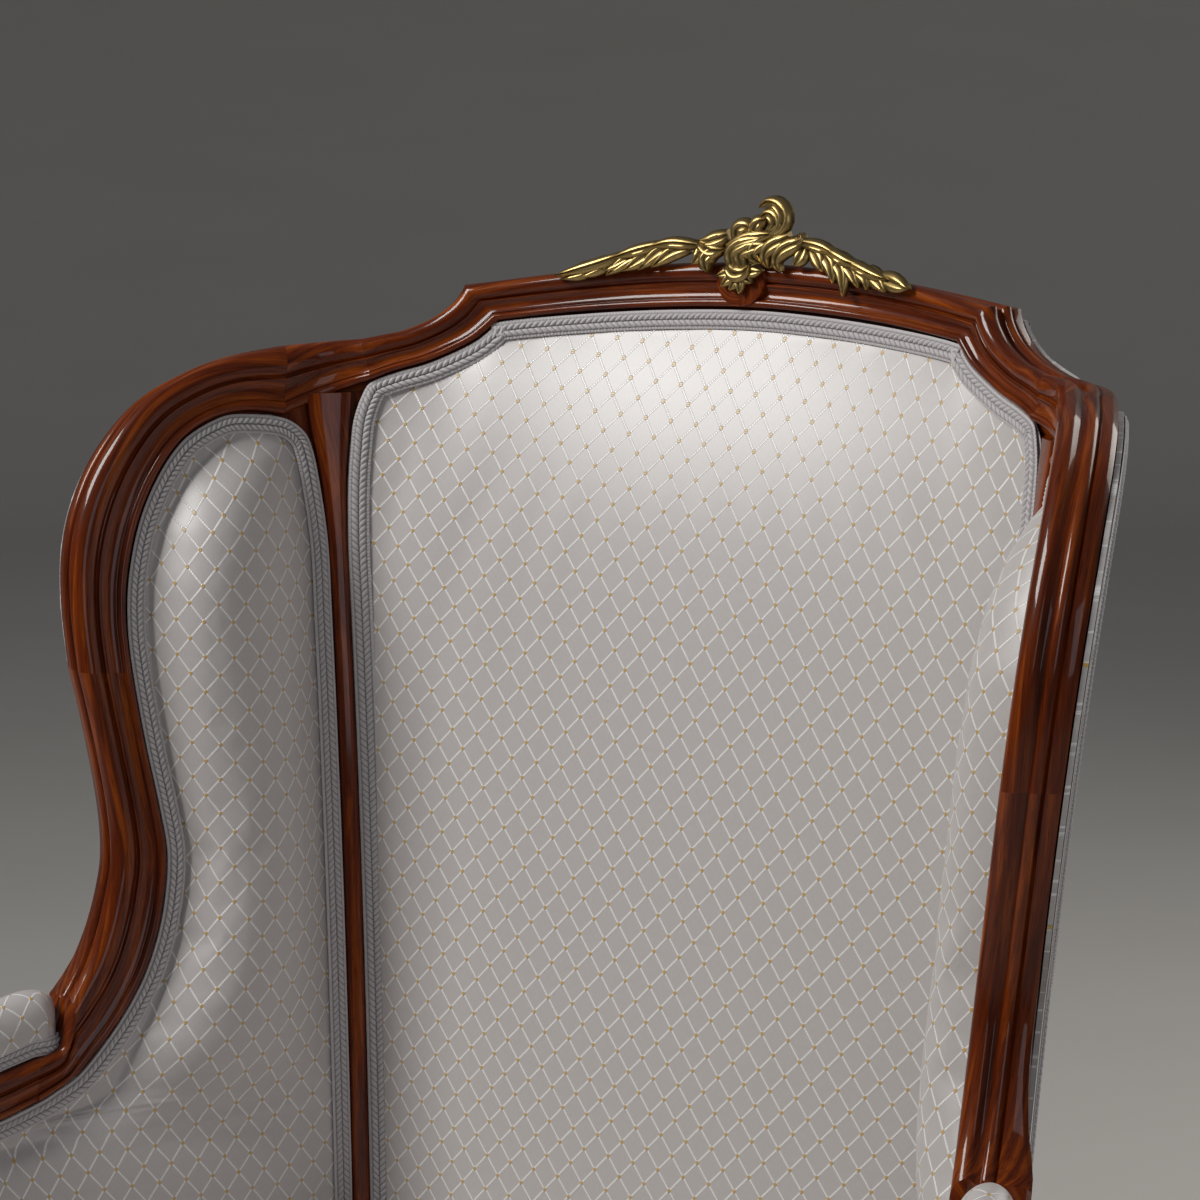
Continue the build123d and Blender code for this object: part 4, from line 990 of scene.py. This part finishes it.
arm_rows, arm_maps = [], []
end_steps = [0.4, 2.0, 5.0, 9.0, 13.0, pad_round]
pad_stations = [pad_first + d for d in end_steps] + spread(232.0, 390.0, 33)
for s in pad_stations + [pad_last - d for d in reversed(end_steps)]:
    inside = min(s - pad_first, pad_last - s, pad_round) / pad_round
    wide = sqrt(1 - (1 - inside) ** 2)
    high = pad_high * (0.5 + 0.5 * sqrt(1 - (1 - min(inside * 0.8 + 0.2, 1.0)) ** 2))
    foot_line = [(x, 0.3) for x in spread(pad_half, -pad_half, 7)]
    over = []
    for k in range(1, 32):
        a = pi - pi * k / 32
        bulge = 1 + 0.28 * sin(a) * abs(cos(a)) ** 0.6
        over.append((pad_half * cos(a) * bulge, 0.3 + high * sin(a) ** 0.62))
    ring = foot_line + over
    row = [(s, pad_mid + wide * x, h) for x, h in ring + ring[:1]]
    arm_rows.append([arm_spot(*p) for p in row])
    arm_maps.append([(s, r) for r in cloth_run(arm_rows[-1], 0.0)])
arm_pad = skin("arm_pad_show_right", arm_rows, arm_maps)
arm_foot = {key(p) for row in arm_rows for p in row[:7]}
held = near_points(arm_pad, lambda p: key(p) in arm_foot)
stuffed(arm_pad, held, 3.0, 3.0)
for piece in dress_pair(arm_pad, "arm_pad", satin, 60.0):
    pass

foot_path = []
bend_first, bend_last, bend = pad_first + pad_half, pad_last - pad_half, pad_half + 0.7
for side, start, stop in ((1, bend_first, bend_last), (-1, bend_last, bend_first)):
    for k in range(120):
        foot_path.append((start + (stop - start) * k / 120, pad_mid + side * bend, 0.0, side))
    for k in range(60):
        a = side * pi / 2 - pi * k / 60
        foot_path.append((stop + bend * cos(a), pad_mid + bend * sin(a), cos(a), sin(a)))
foot_path.append(foot_path[0])
rows, maps, t = [], [], 0.0
for i, (s, n, ds, dn) in enumerate(foot_path):
    t += hypot(s - foot_path[i - 1][0], n - foot_path[i - 1][1]) if i else 0.0
    row = [(-5.4, 0.0)] + [(a * 0.86, looped(a, t)) for a in spread(-gimp_wide / 2, gimp_wide / 2, 15)]
    row += [(5.4, 0.0), (-5.4, 0.0)]
    rows.append([arm_spot(s + ds * (out - 0.6), n + dn * (out - 0.6), 6.0 + a) for a, out in row])
    maps.append([(t, a / 0.86) for a, out in row])
arm_gimp = skin("arm_gimp_show_right", rows, maps)
dress_pair(arm_gimp, "arm_gimp", braid, 50.0)

# Seat: a thin stuffed deck over canvas and webbing, and on it a loose box cushion in the satin with
# a piped edge above and below. The cushion lifts out.
cushion_low, cushion_seam, cushion_high = 346.6, 436.0, 455.0
box_low = cushion_low + 5.6
seam_pull = 3.0
flank_rear, flank_mid = side_point(40.0, 400.0, 41.0), side_point(215.0, 400.0, 49.0)
flank_front = side_point(452.0, 400.0, 16.0)
rear_mid = back_line(400.0) - 57.0
nose = flank_front.x - 24
ring_count = 168


def plan_ring(points):
    # Evenly spaced points round a plan, with its corners eased
    points = points + points[:1]
    reach = [0.0]
    for p, q in zip(points, points[1:]):
        reach.append(reach[-1] + hypot(q[0] - p[0], q[1] - p[1]))
    ring = []
    for k in range(ring_count):
        goal = reach[-1] * k / ring_count
        i = max(j for j in range(len(points) - 1) if reach[j] <= goal)
        f = (goal - reach[i]) / max(reach[i + 1] - reach[i], 1e-9)
        ring.append(Vector((points[i][0] + (points[i + 1][0] - points[i][0]) * f,
                            points[i][1] + (points[i + 1][1] - points[i][1]) * f, 0)))
    for turn in range(5):
        ring = [(ring[k - 1] + ring[k] * 2 + ring[(k + 1) % ring_count]) / 4 for k in range(ring_count)]
    return ring, reach[-1]


a, b, c, d = (168.0, rear_mid + 3.0), flank_rear.xy, flank_mid.xy, flank_front.xy
e = (nose, front_line(nose) - 12.0)
plan = arc((-a[0], a[1]), (0, rear_mid), a, 40) + arc(tuple(b), tuple(c), tuple(d), 40)
plan += arc(e, (0, front_line(0) - 12.0), (-e[0], e[1]), 60)
plan += arc((-d[0], d[1]), (-c[0], c[1]), (-b[0], b[1]), 40)
ring, ring_long = plan_ring(plan)
centre = Vector((0, (rear_mid + front_line(0)) / 2, 0))
cushion_rows, cushion_maps, seam_rings = [], [], []


def cushion_ring(share, z, boxed, pull=0.0):
    row = []
    for p in ring:
        way = (p - centre).normalized()
        row.append(centre + (p - centre) * share - way * pull + up * z)
    row.append(row[0])
    cushion_rows.append(row)
    if boxed:
        cushion_maps.append([(ring_long * k / ring_count, z) for k in range(ring_count + 1)])
    else:
        cushion_maps.append([(q.x, q.y) for q in row])
    return row


for share in (0.012, 0.2, 0.4, 0.6, 0.8, 0.94):
    cushion_ring(share, cushion_low, False)
seam_rings.append(cushion_ring(1.0, cushion_low + 5.5, False, seam_pull))
cushion_ring(1.0, box_low, True, seam_pull)
for f in spread(0.1, 0.9, 9):
    cushion_ring(1.0, box_low + (cushion_seam - box_low) * f, True, seam_pull * (1 - sin(pi * f)))
seam_rings.append(cushion_ring(1.0, cushion_seam, True, seam_pull))
cushion_ring(1.0, cushion_seam + 0.1, False, seam_pull)
for share in (0.97, 0.92, 0.85, 0.76, 0.66, 0.55, 0.44, 0.33, 0.22, 0.11, 0.012):
    crown = (cushion_high - cushion_seam) * (1 - share ** 3.2)
    cushion_ring(share, cushion_seam + crown, False, seam_pull * share)
cushion = skin("seat_cushion_show", cushion_rows, cushion_maps)
seam_set = {key(p) for row in seam_rings for p in row}
held = near_points(cushion, lambda p: p.z < cushion_low + 1.0 or key(p) in seam_set)
stuffed(cushion, held, 4.0, 5.0)
dress(cushion, satin, "cushion", ["seat_cushion"], 60.0)

piping_radius = 3.4
pipes = []
for seam_ring in seam_rings:
    rows = []
    for k in range(ring_count + 1):
        at = seam_ring[k % ring_count]
        ahead = (seam_ring[(k + 1) % ring_count] - seam_ring[k - 1]).normalized()
        out = ahead.cross(up).normalized()
        turns = [2 * pi * i / 12 for i in range(13)]
        rows.append([at + out * (piping_radius * cos(q)) + up * (piping_radius * sin(q)) for q in turns])
    pipes.append(skin("cushion_pipe", rows))
piping = join("seat_cushion_piping_show", pipes)
dress(piping, satin, "cushion", angle=60.0)

deck_low, deck_high = 333.6, 345.6


def seat_plan(n, front):
    # Half plan of the seat from the back's middle round to the front's middle
    rear = [back_point(u, seat_top, n) for u in (0.0, 70.0, 140.0, 186.0)]
    corner = side_point(0, seat_top) + (back_normal(post_half) + side_normal(0)).normalized() * 17
    sides = [side_point(s, seat_top, n) for s in spread(46.0, 396.0, 7)]
    nose_line = [(x, front_line(x) + front) for x in (front_x - 40, front_x * 0.6, front_x * 0.3, 0.0)]
    right = [(p.x, p.y) for p in rear + [corner] + sides] + nose_line
    return right + [(-x, y) for x, y in reversed(right[1:-1])]


deck_ring = plan_ring(seat_plan(-5.0, -10.0))[0]
deck_steps = [(0.01, deck_low), (0.5, deck_low), (0.93, deck_low), (0.985, seat_top + 0.5)]
deck_steps += [(1, seat_top + 2), (1, deck_high - 5), (0.985, deck_high - 2.5)]
deck_steps += [(0.95, deck_high - 0.6), (0.8, deck_high), (0.4, deck_high), (0.01, deck_high)]
deck_rows = []
for share, z in deck_steps:
    row = [centre + (p - centre) * share + up * z for p in deck_ring]
    deck_rows.append(row + row[:1])
deck = skin("seat_deck_pad_show", deck_rows, [[(p.x, p.y) for p in row] for row in deck_rows])
dress(deck, satin, cads=["seat_deck_pad"], angle=60.0)

# Gilt mount: cast bronze, chased and gilded, pinned to the crest. Two acanthus sprays run out from
# an uneven shell of scrolls, each leaf a gouged finger with a groove between two ridges.
left_fingers = [
    [(-39, 1103), (-53, 1099), (-67, 1089)], [(-48, 1104), (-63, 1099), (-77, 1087)],
    [(-61, 1102), (-73, 1096), (-89, 1086)], [(-71, 1100), (-86, 1094), (-101, 1083)],
    [(-84, 1097), (-95, 1091), (-104, 1086)], [(-97, 1093), (-109, 1088), (-121, 1081)],
    [(-107, 1090), (-120, 1085), (-134, 1080)], [(-32, 1105), (-31, 1098), (-36, 1092)],
]
left_crests = [
    [(-33, 1104), (-53, 1105), (-72, 1102)], [(-62, 1104), (-81, 1099), (-99, 1094)],
    [(-92, 1096), (-112, 1089), (-139, 1082)],
]
right_fingers = [
    [(49, 1105), (47, 1098), (43, 1093)], [(55, 1104), (62, 1097), (67, 1090)],
    [(60, 1103), (71, 1095), (76, 1083)], [(67, 1102), (81, 1091), (85, 1075)],
    [(75, 1100), (88, 1092), (97, 1081)], [(88, 1094), (101, 1088), (104, 1080)],
    [(101, 1092), (113, 1085), (120, 1079)], [(113, 1088), (126, 1085), (139, 1082)],
]
right_crests = [
    [(47, 1108), (65, 1105), (81, 1099)], [(67, 1104), (85, 1097), (99, 1095)],
    [(85, 1097), (106, 1090), (122, 1087)], [(42, 1107), (47, 1110), (46, 1114)],
]
crescents = [
    [(24, 1110), (14, 1105), (12, 1098), (19, 1094)], [(38, 1111), (24, 1104), (21, 1097), (25, 1091)],
    [(49, 1109), (35, 1103), (30, 1095), (34, 1089)],
]
scrolls = [
    [(22, 1112), (31, 1117), (33, 1124), (27, 1131), (18, 1133), (13, 1129)],
    [(20, 1112), (27, 1118), (24, 1124), (18, 1125), (14, 1121)],
    [(-3, 1108), (-2, 1115), (5, 1117), (10, 1113)], [(9, 1111), (13, 1119), (20, 1122)],
    [(-9, 1103), (3, 1108), (16, 1111), (27, 1113)], [(-2, 1089), (-6, 1099), (3, 1106), (22, 1110)],
    [(5, 1090), (1, 1098), (8, 1103), (25, 1106)], [(-10, 1111), (-22, 1107), (-32, 1107)],
    [(-32, 1106), (-22, 1101), (-10, 1102)], [(-18, 1102), (-25, 1095), (-22, 1087)],
    [(-8, 1092), (-2, 1087), (6, 1088), (10, 1093)],
]
petals = [
    [(0, 1087), (-8, 1087), (-16, 1085)], [(0, 1087), (-7, 1083), (-12, 1078)],
    [(0, 1087), (-2, 1081), (-5, 1076)], [(0, 1087), (2, 1080), (3, 1074)],
    [(0, 1087), (7, 1084), (12, 1081)], [(0, 1087), (10, 1088), (19, 1089)],
]


def finger(points, wide, lift, thick, curl):
    # One leaf of the casting: two ridges beside a groove, swelling from its root to a turned-up tip
    walk = even(points, 15)
    rows, maps = [], []
    for i, (u, z) in enumerate(walk):
        t = i / (len(walk) - 1)
        before, after = walk[max(i - 1, 0)], walk[min(i + 1, len(walk) - 1)]
        m = hypot(after[0] - before[0], after[1] - before[1])
        du, dz = -(after[1] - before[1]) / m, (after[0] - before[0]) / m
        half = wide / 2 * (0.55 + 0.45 * sin(pi * min(t + 0.08, 1.0))) * sqrt(max(1 - t ** 6, 0.02))
        arch = lift + thick * (0.25 + 0.5 * sin(pi * t)) + curl * t * t
        row = [(-1.0, -0.35 * thick)]
        for x in spread(-0.97, 0.97, 13):
            row.append((x, thick * sqrt(1 - x * x) * (1 - 0.42 * cos(pi * x) ** 4)))
        row += [(1.0, -0.35 * thick), (-1.0, -0.35 * thick)]
        rows.append([back_point(u + du * half * x, z + dz * half * x, arch + h) for x, h in row])
        maps.append([(t, x) for x, h in row])
    return skin("leaf", rows, maps)


# Fire-gilt bronze, dulled with age: warm metal on the ridges; brown in the grooves, along the leaf edges
# and at the roots, partly patina and partly painted shade
gilt, tree, surface = new_material("antique_gilt_bronze")
spot = node(tree, "UVMap", uv_map="UVMap")
leaf_grid = node(tree, "Mapping", {"Vector": spot, "Scale": (1 / MM, 1 / MM, 1.0)})
along = node(tree, "SeparateXYZ", {0: leaf_grid})
off_middle = node(tree, "Math", {0: along.outputs[1]}, operation="ABSOLUTE")
bands = []
for place, first, last, low, high in (
        (off_middle, 0.05, 0.28, 1.0, 0.0), (off_middle, 0.8, 1.0, 0.0, 1.0), (along, 0.0, 0.22, 1.0, 0.0)):
    bands.append(node(tree, "MapRange", {
        0: place, 1: first, 2: last, 3: low, 4: high}, interpolation_type="SMOOTHSTEP"))
groove, brink, root = bands
worn = node(tree, "TexCoord")
blotch = node(tree, "TexNoise", {"Vector": worn.outputs["Object"], "Scale": 140.0, "Detail": 5.0})
# Painted shade and patina: the gilt darkens in each leaf's middle groove, along its edges and at its root
hollow = node(tree, "Math", {0: groove, 1: brink}, operation="MAXIMUM")
recess_patina_and_shade = node(tree, "Math", {0: hollow, 1: root}, operation="MAXIMUM")
# Random grime blotches are added to that painted shade and patina before the colour and roughness are mixed
grime = node(tree, "MapRange", {0: blotch, 1: 0.45, 2: 0.75, 3: 0.0, 4: 0.35})
patina_grime_and_shade = node(tree, "Math", {0: recess_patina_and_shade, 1: 0.62, 2: grime}, operation="MULTIPLY_ADD", use_clamp=True)
gold = node(tree, "Mix", {0: patina_grime_and_shade, 6: linear("#B59C66"), 7: linear("#2E2410")}, data_type="RGBA")
dull = node(tree, "MapRange", {0: patina_grime_and_shade, 3: 0.34, 4: 0.6})
fill(surface, {"Base Color": gold.outputs[2], "Roughness": dull, "Metallic": 1.0})

# Each casting: its broad leaves, then its slim ones, with their width, lift, thickness and curl
spray_lift, shell_lift = 11.2, 12.5
slim_spray, slim_shell = (9.0, spray_lift + 1.5, 3.8, 0.0), (9.5, shell_lift - 0.5, 2.8, 1.0)
castings = [
    ("mount_spray_left", left_fingers, (12.5, spray_lift, 3.4, 1.5), left_crests, slim_spray),
    ("mount_spray_right", right_fingers, (13.0, spray_lift, 3.4, 1.5), right_crests, slim_spray),
    ("mount_centre", crescents + scrolls, (13.0, shell_lift, 4.6, 0.5), petals, slim_shell),
]
for name, broad, broad_form, slim, slim_form in castings:
    leaves = [finger(p, *broad_form) for p in broad] + [finger(p, *slim_form) for p in slim]
    dress(join(name + "_show", leaves), gilt, cads=[name], angle=50.0)

# Hidden work under the seat and inside the frame: beech blocks and tacking rails, jute webbing,
# canvas and a thin black lining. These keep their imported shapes.
beech, tree, surface = new_material("sawn_beech")
place = node(tree, "TexCoord")
grain = node(tree, "TexNoise", {"Vector": place.outputs["Object"], "Scale": 90.0, "Detail": 6.0})
pale = node(tree, "Mix", {0: grain, 6: linear("#B58D5E"), 7: linear("#D9BC8F")}, data_type="RGBA")
fill(surface, {"Base Color": pale.outputs[2], "Roughness": 0.7})


def plain_weave(name, dark, light, pitch):
    # Over-and-under threads at a pitch in millimetres
    made, tree, surface = new_material(name)
    place = node(tree, "TexCoord")
    fine = node(tree, "Mapping", {"Vector": place.outputs["Object"], "Scale": (1 / (pitch * MM),) * 3})
    cells = node(tree, "TexChecker", {"Vector": fine, "Scale": 1.0})
    fill(cells, {"Color1": linear(dark), "Color2": linear(light)})
    lift = node(tree, "Bump", {"Strength": 0.4, "Distance": 0.4 * MM, "Height": cells.outputs[1]})
    fill(surface, {"Base Color": cells, "Normal": lift, "Roughness": 0.9})
    return made


jute = plain_weave("jute_webbing", "#6E5638", "#9A7D55", 2.2)
canvas = plain_weave("plain_canvas", "#A8977B", "#C2B295", 1.4)
lining = plain_weave("black_lining", "#161616", "#262626", 1.2)
hidden = {
    "corner_block_left": beech, "corner_block_right": beech, "back_lower_rail": beech,
    "side_lower_rail_left": beech, "side_lower_rail_right": beech, "back_webbing": jute,
    "seat_canvas": canvas, "dust_cover": lining,
}
for name, material in hidden.items():
    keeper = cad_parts[name]
    keeper.data.materials.clear()
    keeper.data.materials.append(material)

# Seat webbing: jute straps, five from back to front and four across, drawn over and under each other
# and tacked on the seat rails, with their ends cut to the line of the rail.
strap_wide, strap_thick = 50.0, 1.2
strap_pitch = 65.0
strap_rows = [(-190, 0), (-100, 1), (-10, 2), (75, 3)]


def side_reach(y, n):
    # Half width of the seat at a depth y, found by halving
    low, high = 0.0, 520.0
    for turn in range(30):
        s = (low + high) / 2
        low, high = (s, high) if side_point(s, seat_top, n).y > y else (low, s)
    return side_point(low, seat_top, n).x


def strap(first, last, rise):
    # A strap between two edges, each given by its two corners, rise telling how high it lies
    rows = []
    for k in range(49):
        left, right = (a.lerp(b, k / 48) for a, b in zip(first, last))
        left, right = (Vector((p.x, p.y, seat_top + strap_thick * rise(p))) for p in (left, right))
        rows.append([left, right, right + up * strap_thick, left + up * strap_thick, left])
    return skin("strap", rows)


straps = []
for k in range(5):
    edges = [strap_pitch * (k - 2) + strap_wide * side for side in (-0.5, 0.5)]
    straps.append(strap(
        [back_point(x, seat_top, -20.0) for x in edges], [Vector((x, front_line(x) - 4, 0)) for x in edges],
        lambda p: 0.5 - 0.5 * cos(pi * (between(strap_rows, p.y) + k))))
for y, k in strap_rows:
    edges = [(side_reach(y + strap_wide * side, -20.0), y + strap_wide * side) for side in (-0.5, 0.5)]
    straps.append(strap(
        [Vector((-x, e, 0)) for x, e in edges], [Vector((x, e, 0)) for x, e in edges],
        lambda p: 0.5 + 0.5 * cos(pi * (p.x / strap_pitch + k))))
webbing = join("seat_webbing_show", straps)
dress(webbing, jute, cads=["seat_webbing"])
